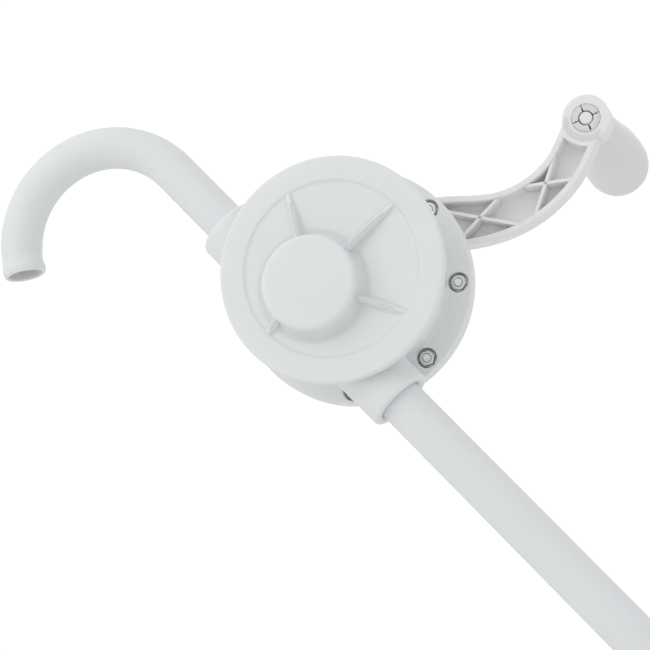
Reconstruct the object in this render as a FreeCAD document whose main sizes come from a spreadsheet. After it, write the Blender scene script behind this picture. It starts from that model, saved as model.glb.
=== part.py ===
import FreeCAD, Part
import math
import os
import re
import Sketcher

# Hand-cranked rotary vane pump for drums, moulded in white polypropylene.
# Frame: +Z up along the suction tube, +X towards the crank pin at rest, the bearing boss faces -Y and the
# crank turns on +Y.  Origin on the tube axis, in the seat plane of the bung adapter.  Units: mm.

os.makedirs("parts", exist_ok=True)
doc = FreeCAD.newDocument("drum_barrel_pump")
V = FreeCAD.Vector

# ---------------------------------------------------------------- dimensions
sheet = doc.addObject("Spreadsheet::Sheet", "dims")
DIMENSIONS = [
    ("pump_z", 385.0),        # height of the pump axis above the bung seat
    ("case_x", 32.6),         # casing axis, measured from the tube axis
    ("rotor_x", 15.55),       # rotor and crank axis, 17 mm off the casing axis
    ("disc_r", 81.6),         # front disc
    ("disc_front", -35.2),
    ("disc_step_r", 62.8),    # shallow recess in the front disc
    ("disc_step", 1.0),
    ("chamber_r", 63.0),      # pumping chamber
    ("chamber_front", -27.2),
    ("case_r", 69.2),
    ("flange_r", 87.0),
    ("flange_front", 31.0),
    ("flange_back", 44.0),
    ("nut_seat", 38.0),       # floor of the round pocket each nut sits in
    ("nut_pocket_r", 7.4),
    ("bolt_ring_r", 77.0),
    ("bolt_r", 3.0),
    ("bolt_hole_r", 3.3),
    ("boss_r", 34.4),         # eccentric bearing boss
    ("boss_front", -50.7),
    ("bush_outer_r", 13.0),
    ("bush_bore_r", 10.06),
    ("shaft_r", 10.0),
    ("front_bush_end", -43.0),
    ("front_bush_mouth", -28.6),
    ("inlet_collar_r", 24.0),  # inlet and outlet sockets
    ("inlet_end", 95.0),
    ("outlet_collar_r", 24.4),
    ("outlet_end", 90.0),
    ("collar_foot_r", 28.6),
    ("socket_depth", 30.0),
    ("port_r", 12.6),
    ("tube_r", 16.5),
    ("tube_bore_r", 13.5),
    ("tube_socket_r", 16.6),
    ("spout_r", 15.5),
    ("spout_bore_r", 12.5),
    ("spout_socket_r", 15.57),
    ("spout_bend_r", 69.6),
    ("spout_bend_z", 151.0),
    ("spout_sweep", 149.0),
    ("spout_tail", 8.0),
    ("ring_wire", 1.3),       # O-ring section radius
    ("ring_level", 76.0),     # O-ring height from the pump axis
    ("cover_r", 84.5),
    ("cover_front", 45.0),
    ("cover_back", 51.0),
    ("spigot_front", 42.0),
    ("spigot_r", 62.9),
    ("gland_r", 22.0),
    ("gland_back", 66.0),
    ("rotor_r", 45.9),
    ("rotor_front", -27.1),
    ("rotor_back", 41.9),
    ("slot_half", 4.1),
    ("vane_half", 4.0),
    ("web_half", 4.0),
    ("vane_low", 4.2),
    ("vane_high", 45.6),
    ("crank_front", 75.0),    # side of the crank arm that faces the pump
    ("crank_back", 93.0),
    ("pin_x", 237.9),         # crank pin, 224 mm from the crank axis
    ("pin_drop", 23.9),
    ("eye_r", 17.8),
    ("grip_bore_r", 8.6),
    ("coupling_r", 20.0),
    ("joint_one", -85.0),     # where the tube sections meet
    ("joint_two", -385.0),
    ("tube_foot", -690.0),
    ("strainer_foot", -722.0),
    ("bung_thread_r", 29.8),  # G 2 male thread
    ("bung_relief_r", 28.4),  # undercut above the thread, where the gasket sits
    ("bung_thread_len", 20.0),
    ("adapter_top", 40.0),
    ("adapter_r", 24.0),
    ("adapter_bore_r", 16.59),
    ("screw_z", 28.0),
]
value = {}
for row, (word, number) in enumerate(DIMENSIONS, start=1):
    sheet.set("A%d" % row, word)
    sheet.set("B%d" % row, str(number))
    sheet.setAlias("B%d" % row, word)
    value[word] = number
doc.recompute()


def ex(text):
    """Point every word of a formula at its cell."""
    return re.sub(r"[a-z][a-z_]+", lambda word: "dims." + word.group(0), text)


def num(text):
    """Value of a formula as a number."""
    total = 0.0
    for sign, term in re.findall(r"([+-]?)\s*([a-z_]+|[\d.]+)", text):
        size = value[term] if term in value else float(term)
        total += -size if sign == "-" else size
    return total


def bind(item, pairs):
    for prop, text in pairs:
        item.setExpression(prop, ex(str(text)))
    return item


def place(item, x, y, z, turn=None):
    item.Placement = FreeCAD.Placement(V(num(str(x)), num(str(y)), num(str(z))), turn or FreeCAD.Rotation())
    return bind(item, [("Placement.Base.x", x), ("Placement.Base.y", y), ("Placement.Base.z", z)])


TO_Y = FreeCAD.Rotation(V(1, 0, 0), -90)
TO_X = FreeCAD.Rotation(V(0, 1, 0), 90)


def rod_y(name, radius, x, z, start, end):
    """Cylinder along +Y between two depths."""
    item = doc.addObject("Part::Cylinder", name)
    bind(item, [("Radius", radius), ("Height", "(%s) - (%s)" % (end, start))])
    return place(item, x, start, z, TO_Y)


def rod_z(name, radius, low, high, x="0", y="0"):
    """Cylinder along +Z between two heights."""
    item = doc.addObject("Part::Cylinder", name)
    bind(item, [("Radius", radius), ("Height", "(%s) - (%s)" % (high, low))])
    return place(item, x, y, low)


def cone_z(name, low_r, high_r, low, high):
    item = doc.addObject("Part::Cone", name)
    bind(item, [("Radius1", low_r), ("Radius2", high_r), ("Height", "(%s) - (%s)" % (high, low))])
    return place(item, "0", "0", low)


def cone_y(name, front_r, back_r, x, z, start, end):
    item = doc.addObject("Part::Cone", name)
    bind(item, [("Radius1", front_r), ("Radius2", back_r), ("Height", "(%s) - (%s)" % (end, start))])
    return place(item, x, start, z, TO_Y)


def block(name, x, y, z, size_x, size_y, size_z):
    item = doc.addObject("Part::Box", name)
    bind(item, [("Length", size_x), ("Width", size_y), ("Height", size_z)])
    return place(item, x, y, z)


def ring_z(name, centre_r, wire, height):
    item = doc.addObject("Part::Torus", name)
    bind(item, [("Radius1", centre_r), ("Radius2", wire)])
    return place(item, "0", "0", height)


def join(name, items):
    fused = doc.addObject("Part::MultiFuse", name)
    fused.Shapes = items
    fused.Refine = True
    return fused


def carve(name, base, tool):
    cut = doc.addObject("Part::Cut", name)
    cut.Base = base
    cut.Tool = tool
    cut.Refine = True
    return cut


def bolt_spots():
    """Eight places on the bolt circle, one on the horizontal through the casing axis."""
    spots = []
    for step in range(8):
        angle = math.radians(45.0 * step)
        spots.append((math.cos(angle), math.sin(angle)))
    return spots


def ring_of_rods(name, radius, start, end):
    """One rod per cover bolt, all along +Y."""
    rods = []
    for index, (c, s) in enumerate(bolt_spots()):
        x = "case_x + bolt_ring_r * (%.9f)" % c
        z = "pump_z + bolt_ring_r * (%.9f)" % s
        item = doc.addObject("Part::Cylinder", "%s_%d" % (name, index))
        bind(item, [("Radius", radius), ("Height", "(%s) - (%s)" % (end, start))])
        item.Placement = FreeCAD.Placement(V(0, 0, 0), TO_Y)
        bind(item, [("Placement.Base.x", x), ("Placement.Base.y", start), ("Placement.Base.z", z)])
        rods.append(item)
    return rods


def hexagons(name, half_flat, start, end, turn=0.0):
    """One hexagonal prism per cover bolt."""
    prisms = []
    for index, (c, s) in enumerate(bolt_spots()):
        item = doc.addObject("Part::Prism", "%s_%d" % (name, index))
        item.Polygon = 6
        bind(item, [("Circumradius", "%s * 1.154700538" % half_flat), ("Height", "(%s) - (%s)" % (end, start))])
        spin = FreeCAD.Rotation(V(0, 0, 1), turn + 7.0 * index)
        item.Placement = FreeCAD.Placement(V(0, 0, 0), TO_Y.multiply(spin))
        bind(item, [("Placement.Base.x", "case_x + bolt_ring_r * (%.9f)" % c),
                    ("Placement.Base.y", start),
                    ("Placement.Base.z", "pump_z + bolt_ring_r * (%.9f)" % s)])
        prisms.append(item)
    return prisms


def sketch_in(body, plane, offset_z=0.0):
    """Empty sketch on one of the body's own origin planes, shifted along that plane's normal."""
    sketch = body.newObject("Sketcher::SketchObject", body.Name + "_sketch")
    feature = [o for o in body.Origin.OriginFeatures if o.Role == plane][0]
    sketch.AttachmentSupport = (feature, [""])
    sketch.MapMode = "FlatFace"
    sketch.AttachmentOffset = FreeCAD.Placement(V(0, 0, offset_z), FreeCAD.Rotation())
    return sketch


def outline(sketch, points):
    """Closed chain of straight lines, each corner tied and each point held."""
    first = sketch.GeometryCount
    for index, point in enumerate(points):
        after = points[(index + 1) % len(points)]
        sketch.addGeometry(Part.LineSegment(V(point[0], point[1], 0), V(after[0], after[1], 0)), False)
    for index in range(len(points)):
        following = first + (index + 1) % len(points)
        sketch.addConstraint(Sketcher.Constraint("Coincident", first + index, 2, following, 1))
    return first


def hold(sketch, line, across, up):
    """Tie the start of one line to two formulas measured from the sketch origin."""
    for kind, text in (("DistanceX", across), ("DistanceY", up)):
        size = num(text) if re.search("[a-z]", text) else float(text)
        slot = sketch.addConstraint(Sketcher.Constraint(kind, -1, 1, line, 1, size))
        if re.search("[a-z]", text):
            sketch.setExpression("Constraints[%d]" % slot, ex(text))


def profile(body, plane, corners):
    """Sketch a closed outline whose corners are formula pairs."""
    sketch = sketch_in(body, plane)
    points = [(num(a) if re.search("[a-z]", a) else float(a),
               num(b) if re.search("[a-z]", b) else float(b)) for a, b in corners]
    first = outline(sketch, points)
    for index, (a, b) in enumerate(corners):
        hold(sketch, first + index, a, b)
    return sketch


def new_body(name):
    body = doc.addObject("PartDesign::Body", name)
    body.Label = name
    return body


def turned_z(name, corners):
    """Body turned about Z from an XZ half profile."""
    body = new_body(name)
    sketch = profile(body, "XZ_Plane", corners)
    turn = body.newObject("PartDesign::Revolution", name + "_turn")
    turn.Profile = sketch
    turn.ReferenceAxis = (sketch, ["V_Axis"])
    turn.Angle = 360.0
    sketch.Visibility = False
    body.Tip = turn
    return body


def turned_y(name, corners, x, z):
    """Body turned about Y from an XY half profile, then moved onto its axis."""
    body = new_body(name)
    sketch = profile(body, "XY_Plane", corners)
    turn = body.newObject("PartDesign::Revolution", name + "_turn")
    turn.Profile = sketch
    turn.ReferenceAxis = (sketch, ["V_Axis"])
    turn.Angle = 360.0
    body.Tip = turn
    bind(body, [("Placement.Base.x", x), ("Placement.Base.z", z)])
    return body


PIECES = []


def finish(item, label):
    item.Label = label
    PIECES.append((item, label))
    return item


# ---------------------------------------------------------------- pump body
def disc_profile():
    """Front disc, casing and flange as one turned blank, its corners eased by short bevels."""
    return [
        ("0", "disc_front"), ("disc_r - 2.2", "disc_front"), ("disc_r - 0.6", "disc_front + 0.7"),
        ("disc_r", "disc_front + 2.2"), ("disc_r", "chamber_front - 0.6"), ("disc_r - 0.8", "chamber_front"),
        ("case_r + 2.6", "chamber_front"), ("case_r + 0.8", "chamber_front + 0.9"),
        ("case_r", "chamber_front + 2.8"), ("case_r", "flange_front - 2.0"),
        ("case_r + 0.6", "flange_front - 0.6"), ("case_r + 1.4", "flange_front"),
        ("flange_r - 1.4", "flange_front"), ("flange_r - 0.4", "flange_front + 0.4"),
        ("flange_r", "flange_front + 1.4"), ("flange_r", "flange_back - 0.5"), ("flange_r - 0.5", "flange_back"),
        ("0", "flange_back"),
    ]


def rib(name, angle, reach, height):
    """Wedge rib: tall at the boss, running out flush with the front face at the recess edge."""
    wedge = doc.addObject("Part::Wedge", name)
    wedge.Xmin = 0.0
    wedge.Xmax = reach
    wedge.X2min = 0.0
    wedge.X2max = reach * 0.12
    wedge.Zmin = 0.0
    wedge.Zmax = 6.0
    wedge.Z2min = 1.0
    wedge.Z2max = 5.0
    wedge.Ymin = 0.0
    wedge.Ymax = height
    direction = FreeCAD.Rotation(V(0, 1, 0), -angle)
    flip = FreeCAD.Rotation(V(1, 0, 0), 180)
    turn = direction.multiply(flip)
    side = direction.multVec(V(0, 0, 1))
    base = V(value["rotor_x"], value["disc_front"] + 1.2, value["pump_z"]) + side * 3.0
    wedge.Placement = FreeCAD.Placement(base, turn)
    return wedge


def make_pump_body():
    blank = turned_y("body_blank", disc_profile(), "case_x", "pump_z")
    step = rod_y("face_recess", "disc_step_r", "case_x", "pump_z", "disc_front - 1", "disc_front + disc_step")
    faced = carve("faced_blank", blank, step)
    boss = cone_y("bearing_boss", "boss_r - 0.9", "boss_r", "rotor_x", "pump_z", "boss_front + 1.6",
                  "disc_front + 2")
    cap = cone_y("boss_cap", "boss_r - 2.5", "boss_r - 0.9", "rotor_x", "pump_z", "boss_front",
                 "boss_front + 1.6")
    root = cone_y("boss_root", "boss_r", "boss_r + 2.2", "rotor_x", "pump_z", "disc_front - 1.6",
                  "disc_front + 1.4")
    ribs = [rib("rib_long", 0.0, 79.0, 12.4), rib("rib_up", 62.0, 71.0, 12.4),
            rib("rib_down", -62.0, 71.0, 12.4), rib("rib_short", 180.0, 45.0, 12.4)]
    sockets = [
        rod_z("lower_socket", "inlet_collar_r", "pump_z - inlet_end + 1.6", "pump_z - 30"),
        cone_z("lower_socket_lip", "inlet_collar_r - 1.6", "inlet_collar_r", "pump_z - inlet_end",
               "pump_z - inlet_end + 1.6"),
        cone_z("lower_flare", "inlet_collar_r", "collar_foot_r", "pump_z - 82", "pump_z - 62"),
        rod_z("lower_foot", "collar_foot_r", "pump_z - 62", "pump_z - 30"),
        rod_z("upper_socket", "outlet_collar_r", "pump_z + 30", "pump_z + outlet_end - 1.6"),
        cone_z("upper_socket_lip", "outlet_collar_r", "outlet_collar_r - 1.6", "pump_z + outlet_end - 1.6",
               "pump_z + outlet_end"),
        cone_z("upper_flare", "collar_foot_r", "outlet_collar_r", "pump_z + 60", "pump_z + 81"),
        rod_z("upper_foot", "collar_foot_r", "pump_z + 30", "pump_z + 60"),
    ]
    solid = join("body_solid", [faced, boss, cap, root] + ribs + sockets)
    seat_low = "pump_z - inlet_end + socket_depth"
    seat_high = "pump_z + outlet_end - socket_depth"
    hollows = [
        rod_y("chamber", "chamber_r", "case_x", "pump_z", "chamber_front", "flange_back + 1"),
        rod_y("front_bearing", "bush_outer_r + 0.02", "rotor_x", "pump_z", "front_bush_end - 0.1",
              "chamber_front + 1"),
        rod_z("inlet_port", "port_r", seat_low + " - 1", "pump_z - 42"),
        rod_z("outlet_port", "port_r", "pump_z + 42", seat_high + " + 1"),
        rod_z("inlet_socket", "tube_socket_r", "pump_z - inlet_end - 1", seat_low),
        rod_z("outlet_socket", "spout_socket_r", seat_high, "pump_z + outlet_end + 1"),
        cone_z("inlet_mouth", "tube_socket_r + 2.4", "tube_socket_r", "pump_z - inlet_end - 0.4",
               "pump_z - inlet_end + 2.0"),
        cone_z("outlet_mouth", "spout_socket_r", "spout_socket_r + 2.4", "pump_z + outlet_end - 2.0",
               "pump_z + outlet_end + 0.4"),
        rod_z("inlet_groove", "tube_socket_r + 2.6", "pump_z - ring_level - 1.5", "pump_z - ring_level + 1.5"),
        rod_z("outlet_groove", "spout_socket_r + 2.6", "pump_z + ring_level - 1.5",
              "pump_z + ring_level + 1.5"),
    ]
    hollows += ring_of_rods("body_bolt_hole", "bolt_hole_r", "nut_seat - 1", "flange_back + 1")
    hollows += ring_of_rods("nut_pocket", "nut_pocket_r", "flange_front - 1", "nut_seat")
    return finish(carve("pump_body", solid, join("body_hollows", hollows)), "pump_body")


# ---------------------------------------------------------------- cover side
def make_cover():
    plate = turned_y("cover_blank", [
        ("0", "spigot_front"), ("spigot_r", "spigot_front"), ("spigot_r", "cover_front"),
        ("cover_r - 0.4", "cover_front"), ("cover_r", "cover_front + 0.4"), ("cover_r", "cover_back - 1.2"),
        ("cover_r - 1.2", "cover_back"), ("0", "cover_back")], "case_x", "pump_z")
    gland = rod_y("gland_tower", "gland_r", "rotor_x", "pump_z", "cover_back - 1", "gland_back - 1")
    gland_lip = cone_y("gland_tower_lip", "gland_r", "gland_r - 1", "rotor_x", "pump_z", "gland_back - 1",
                       "gland_back")
    tower_root = cone_y("gland_root", "gland_r + 3", "gland_r", "rotor_x", "pump_z", "cover_back - 0.5",
                        "cover_back + 3")
    ribs = []
    for index in range(6):
        angle = 60.0 * index + 30.0
        wedge = doc.addObject("Part::Wedge", "cover_rib_%d" % index)
        wedge.Xmin = 0.0
        wedge.Xmax = 60.0 + 12.0 * math.cos(math.radians(angle))
        wedge.X2min = 0.0
        wedge.X2max = 24.0
        wedge.Zmin = 0.0
        wedge.Zmax = 4.4
        wedge.Z2min = 0.6
        wedge.Z2max = 3.8
        wedge.Ymin = 0.0
        wedge.Ymax = 11.0
        direction = FreeCAD.Rotation(V(0, 1, 0), -angle)
        side = direction.multVec(V(0, 0, 1))
        base = V(value["rotor_x"], value["cover_back"] - 0.8, value["pump_z"]) - side * 2.2
        wedge.Placement = FreeCAD.Placement(base, direction)
        ribs.append(wedge)
    solid = join("cover_solid", [plate, gland, gland_lip, tower_root] + ribs)
    hollows = [
        rod_y("rear_bearing", "bush_outer_r + 0.02", "rotor_x", "pump_z", "spigot_front - 1", "57"),
        rod_y("gland_bore", "16.05", "rotor_x", "pump_z", "56", "gland_back + 1"),
    ] + ring_of_rods("cover_bolt_hole", "bolt_hole_r", "cover_front - 1", "cover_back + 1")
    finish(carve("cover_plate", solid, join("cover_hollows", hollows)), "cover_plate")

    disc = rod_y("gasket_disc", "cover_r - 0.2", "case_x", "pump_z", "flange_back", "cover_front")
    holes = ring_of_rods("gasket_hole", "bolt_hole_r + 0.2", "flange_back - 1", "cover_front + 1")
    holes.append(rod_y("gasket_eye", "chamber_r + 0.3", "case_x", "pump_z", "flange_back - 1",
                       "cover_front + 1"))
    finish(carve("cover_gasket", disc, join("gasket_holes", holes)), "cover_gasket")


def make_fasteners():
    shanks = ring_of_rods("bolt_shank", "bolt_r", "flange_front - 1.4", "cover_back")
    heads = hexagons("bolt_head", "5.0", "cover_back", "cover_back + 4", 12.0)
    bolts = doc.addObject("Part::Compound", "cover_bolts")
    bolts.Links = [join("bolt_%d" % i, [shanks[i], heads[i]]) for i in range(8)]
    finish(bolts, "cover_bolts")

    blanks = hexagons("nut_blank", "5.0", "nut_seat - 6.6", "nut_seat - 1.6", 20.0)
    bores = ring_of_rods("nut_bore", "bolt_r + 0.05", "nut_seat - 8", "nut_seat - 1")
    nuts = doc.addObject("Part::Compound", "cover_nuts")
    nuts.Links = [carve("nut_%d" % i, blanks[i], bores[i]) for i in range(8)]
    finish(nuts, "cover_nuts")

    blanks = ring_of_rods("washer_blank", "6.2", "nut_seat - 1.6", "nut_seat")
    bores = ring_of_rods("washer_bore", "bolt_r + 0.2", "nut_seat - 2", "nut_seat + 0.5")
    washers = doc.addObject("Part::Compound", "cover_washers")
    washers.Links = [carve("washer_%d" % i, blanks[i], bores[i]) for i in range(8)]
    finish(washers, "cover_washers")


def make_bearings():
    finish(turned_y("front_bush", [
        ("bush_bore_r", "front_bush_end + 0.6"), ("bush_outer_r", "front_bush_end"),
        ("bush_outer_r", "front_bush_mouth"), ("bush_bore_r + 0.6", "front_bush_mouth"),
        ("bush_bore_r", "front_bush_mouth - 0.6")], "rotor_x", "pump_z"), "front_bush")
    finish(turned_y("rear_bush", [
        ("bush_bore_r", "43"), ("bush_outer_r", "42.4"), ("bush_outer_r", "55.9"),
        ("bush_bore_r + 0.6", "55.9"), ("bush_bore_r", "55.3")], "rotor_x", "pump_z"), "rear_bush")
    finish(turned_y("shaft_seal", [
        ("bush_bore_r", "57.6"), ("bush_bore_r + 2.2", "57.0"), ("15.9", "57.0"), ("15.9", "61.6"),
        ("bush_bore_r + 1.6", "61.6"), ("bush_bore_r", "60.4")], "rotor_x", "pump_z"), "shaft_seal")
    stem = turned_y("gland_stem", [
        ("10.4", "61.8"), ("15.9", "61.8"), ("15.9", "gland_back + 1"), ("10.4", "gland_back + 1")],
        "rotor_x", "pump_z")
    cap = doc.addObject("Part::Prism", "gland_hex")
    cap.Polygon = 6
    bind(cap, [("Circumradius", "20.5"), ("Height", "5")])
    place(cap, "rotor_x", "gland_back", "pump_z", TO_Y)
    hole = rod_y("gland_hole", "10.4", "rotor_x", "pump_z", "60", "gland_back + 7")
    finish(carve("gland_nut", join("gland_solid", [stem, cap]), hole), "gland_nut")


# ---------------------------------------------------------------- rotor and vanes
def make_rotor():
    drum = rod_y("rotor_drum", "rotor_r", "rotor_x", "pump_z", "rotor_front", "rotor_back")
    slots = []
    depth = "rotor_back - rotor_front + 2"
    slots.append(block("slot_up", "rotor_x - slot_half", "rotor_front - 1", "pump_z + web_half",
                       "2 * slot_half", depth, "rotor_r"))
    slots.append(block("slot_down", "rotor_x - slot_half", "rotor_front - 1", "pump_z - web_half - rotor_r",
                       "2 * slot_half", depth, "rotor_r"))
    for index, (across, up) in enumerate([(27.0, 14.0), (27.0, -14.0), (-27.0, 14.0), (-27.0, -14.0)]):
        slots.append(rod_y("core_%d" % index, "9", "rotor_x + (%g)" % across, "pump_z + (%g)" % up,
                           "rotor_front + 6", "rotor_back + 1"))
    body = carve("rotor_slotted", drum, join("rotor_slots", slots))
    front = rod_y("front_trunnion", "shaft_r", "rotor_x", "pump_z", "front_bush_end + 1.2", "rotor_front")
    rear = rod_y("rear_shaft", "shaft_r", "rotor_x", "pump_z", "rotor_back", "74")
    square = block("drive_square", "rotor_x - 6.9", "73.5", "pump_z - 6.9", "13.8", "16.5", "13.8")
    solid = join("rotor_solid", [body, front, rear, square])
    tapped = rod_y("screw_hole", "3.05", "rotor_x", "pump_z", "72", "91")
    finish(carve("rotor", solid, tapped), "rotor")


def make_vane(name, side):
    """Sliding vane with a rounded tip and two blind spring pockets in its inner edge."""
    low = "pump_z + vane_low" if side > 0 else "pump_z - vane_high + vane_half"
    plate = block(name + "_plate", "rotor_x - vane_half", "rotor_front + 0.1", low, "2 * vane_half",
                  "rotor_back - rotor_front - 0.2", "vane_high - vane_low - vane_half")
    tip_z = "pump_z + vane_high - vane_half" if side > 0 else "pump_z - vane_high + vane_half"
    tip = rod_y(name + "_tip", "vane_half", "rotor_x", tip_z, "rotor_front + 0.1", "rotor_back - 0.1")
    pockets = []
    for index, depth in enumerate((-8.0, 23.0)):
        if side > 0:
            span = ("pump_z + vane_low - 1", "pump_z + vane_low + 26")
        else:
            span = ("pump_z - vane_low - 26", "pump_z - vane_low + 1")
        pockets.append(rod_z(name + "_pocket_%d" % index, "2.9", span[0], span[1], "rotor_x", "%g" % depth))
    solid = join(name + "_solid", [plate, tip])
    finish(carve(name, solid, join(name + "_pockets", pockets)), name)


def make_springs(name, side):
    """Two coil springs between the rotor web and the pocket floors, at their compressed length."""
    length = 25.6
    start = value["pump_z"] + (value["web_half"] + 0.5 if side > 0 else -value["web_half"] - 0.5 - length)
    coils = []
    for depth in (-8.0, 23.0):
        path = Part.makeHelix(2.5, length - 0.9, 2.1)
        ring = Part.Wire(Part.makeCircle(0.4, V(2.1, 0, 0), V(0, 1, 0)))
        coil = Part.Wire(path).makePipeShell([ring], True, True)
        coil.translate(V(value["rotor_x"], depth, start + 0.45))
        coils.append(coil)
    springs = doc.addObject("Part::Feature", name)
    springs.Shape = Part.makeCompound(coils)
    finish(springs, name)


# ---------------------------------------------------------------- crank
ARM_LINE = [(15.55, 0.0), (48.0, 11.0), (78.0, 13.5), (103.0, 4.5), (122.1, -11.8), (139.4, -25.4),
            (158.5, -34.5), (180.0, -38.65), (199.8, -37.6), (218.4, -31.6), (237.9, -23.9)]
ARM_HALF = [(0.0, 21.5), (0.3, 20.3), (0.5, 18.8), (0.6, 17.0), (0.7, 15.7), (0.8, 14.8), (0.9, 14.5), (1.0, 14.5)]


def arm_curve():
    """Centre line of the crank arm in the XZ plane, heights measured from the pump axis."""
    curve = Part.BSplineCurve()
    curve.interpolate([V(x, z, 0) for x, z in ARM_LINE])
    return curve


def arm_half(share):
    """Half width of the arm at a share of its length, read off the table above."""
    for (low, wide), (high, narrow) in zip(ARM_HALF, ARM_HALF[1:]):
        if share <= high:
            return wide + (narrow - wide) * (share - low) / (high - low)
    return ARM_HALF[-1][1]


def arm_side(curve, inset, sign, count=15, first=0.0, last=1.0):
    """Points to one side of the centre line, set in from the arm's edge."""
    points = []
    begin, end = curve.FirstParameter, curve.LastParameter
    for step in range(count):
        share = first + (last - first) * step / (count - 1.0)
        where = begin + (end - begin) * share
        spot = curve.value(where)
        along = curve.tangent(where)[0]
        normal = V(-along.y, along.x, 0)
        points.append(spot + normal * ((arm_half(share) - inset) * sign))
    return points


def arm_sketch(body, inset, depth, first=0.0, last=1.0):
    """Closed arm outline: one spline per side, a straight line across each end."""
    sketch = sketch_in(body, "XZ_Plane", -depth)
    curve = arm_curve()
    rise = V(0, value["pump_z"], 0)
    upper = [p + rise for p in arm_side(curve, inset, 1.0, 15, first, last)]
    lower = [p + rise for p in arm_side(curve, inset, -1.0, 15, first, last)]
    top = Part.BSplineCurve()
    top.interpolate(upper)
    bottom = Part.BSplineCurve()
    bottom.interpolate(lower[::-1])
    sketch.addGeometry(top, False)
    sketch.addGeometry(Part.LineSegment(upper[-1], lower[-1]), False)
    sketch.addGeometry(bottom, False)
    sketch.addGeometry(Part.LineSegment(lower[0], upper[0]), False)
    return sketch


def pad_y(body, sketch, name, length):
    pad = body.newObject("PartDesign::Pad", name)
    pad.Profile = sketch
    pad.Length = length
    pad.Reversed = True
    body.Tip = pad
    return pad


def make_crank():
    bar = new_body("arm_bar")
    pad = pad_y(bar, arm_sketch(bar, 0.0, value["crank_front"]), "arm_pad", 18.0)
    pad.setExpression("Length", ex("crank_back - crank_front"))
    well = new_body("arm_well")
    pad_y(well, arm_sketch(well, 4.9, value["crank_front"] - 1.0, 0.11, 0.915), "well_pad", 15.5)
    hub = rod_y("crank_hub", "23", "rotor_x", "pump_z", "crank_front", "crank_back + 1")
    eye = rod_y("crank_eye", "eye_r", "pin_x", "pump_z - pin_drop", "crank_front", "crank_back + 2")
    trough = carve("arm_trough", bar, well)
    braces = []
    for index, (x, z, lean, spread) in enumerate([(131.5, -18.2, -28.0, 29.5), (183.1, -36.0, -5.9, 33.0)]):
        for sign in (-1.0, 1.0):
            strip = doc.addObject("Part::Box", "brace_%d_%d" % (index, int(sign > 0)))
            strip.Length = 62.0
            strip.Width = 14.4
            strip.Height = 2.6
            tilt = FreeCAD.Rotation(V(0, 1, 0), -(lean + sign * spread))
            middle = tilt.multVec(V(-31.0, 0, -1.3))
            strip.Placement = FreeCAD.Placement(
                V(x, value["crank_front"] + 1.6, value["pump_z"] + z) + middle, tilt)
            braces.append(strip)
    inside = new_body("arm_inside")
    pad_y(inside, arm_sketch(inside, 2.5, value["crank_front"], 0.02, 0.98), "inside_pad", 16.0)
    crosses = doc.addObject("Part::MultiCommon", "arm_crosses")
    crosses.Shapes = [inside, join("brace_set", braces)]
    solid = join("arm_solid", [trough, hub, eye, crosses])
    hollows = [
        block("hub_square", "rotor_x - 7", "crank_front - 1", "pump_z - 7", "14", "16", "14"),
        rod_y("hub_screw_hole", "3.4", "rotor_x", "pump_z", "crank_front", "crank_back + 3"),
        rod_y("grip_bore", "grip_bore_r", "pin_x", "pump_z - pin_drop", "crank_front - 1", "crank_back + 4"),
        rod_y("hook_seat", "11.2", "pin_x", "pump_z - pin_drop", "crank_front - 1", "crank_front + 1.6"),
    ]
    finish(carve("crank_arm", solid, join("arm_hollows", hollows)), "crank_arm")

    finish(turned_y("crank_washer", [
        ("3.3", "crank_back + 1"), ("9", "crank_back + 1"), ("9", "crank_back + 2.6"),
        ("3.3", "crank_back + 2.6")], "rotor_x", "pump_z"), "crank_washer")
    head = turned_y("screw_head", [
        ("0", "crank_back + 2.6"), ("5.8", "crank_back + 2.6"), ("5.8", "crank_back + 4.6"),
        ("4.6", "crank_back + 6.4"), ("0", "crank_back + 6.8")], "rotor_x", "pump_z")
    shank = rod_y("screw_shank", "3", "rotor_x", "pump_z", "73", "crank_back + 3")
    recess = []
    for index, turn in enumerate((0.0, 90.0)):
        bar_item = doc.addObject("Part::Box", "cross_recess_%d" % index)
        bar_item.Length = 5.4
        bar_item.Width = 4.0
        bar_item.Height = 1.2
        spin = FreeCAD.Rotation(V(0, 1, 0), turn + 20.0)
        corner = spin.multVec(V(-2.7, 0, -0.6))
        bar_item.Placement = FreeCAD.Placement(
            V(value["rotor_x"], value["crank_back"] + 4.4, value["pump_z"]) + corner, spin)
        recess.append(bar_item)
    finish(carve("crank_screw", join("screw_solid", [head, shank]), join("cross_recess", recess)),
           "crank_screw")


def grip_profile():
    """Half profile of the grip: snap stem, collar, slender neck and a full rounded end."""
    return [
        ("5", "crank_front - 0.8"), ("8.6", "crank_front - 0.8"), ("10.6", "crank_front + 0.5"),
        ("10.6", "crank_front + 1.5"), ("8.52", "crank_front + 1.5"), ("8.52", "crank_back + 2.3"),
        ("15.8", "crank_back + 2.3"), ("16.4", "crank_back + 3.2"), ("16.4", "crank_back + 7"),
        ("15.6", "crank_back + 8.6"), ("15.2", "crank_back + 13"), ("16.2", "crank_back + 22"),
        ("18.8", "crank_back + 40"), ("21.2", "crank_back + 60"), ("23.4", "crank_back + 82"),
        ("24.8", "crank_back + 104"), ("25.2", "crank_back + 120"), ("24.9", "crank_back + 131"),
        ("23.5", "crank_back + 139"), ("20.4", "crank_back + 145.5"), ("15.4", "crank_back + 150"),
        ("8.2", "crank_back + 152.6"), ("0", "crank_back + 153.4"), ("0", "crank_back + 16"),
        ("5", "crank_back + 16"),
    ]


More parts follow.
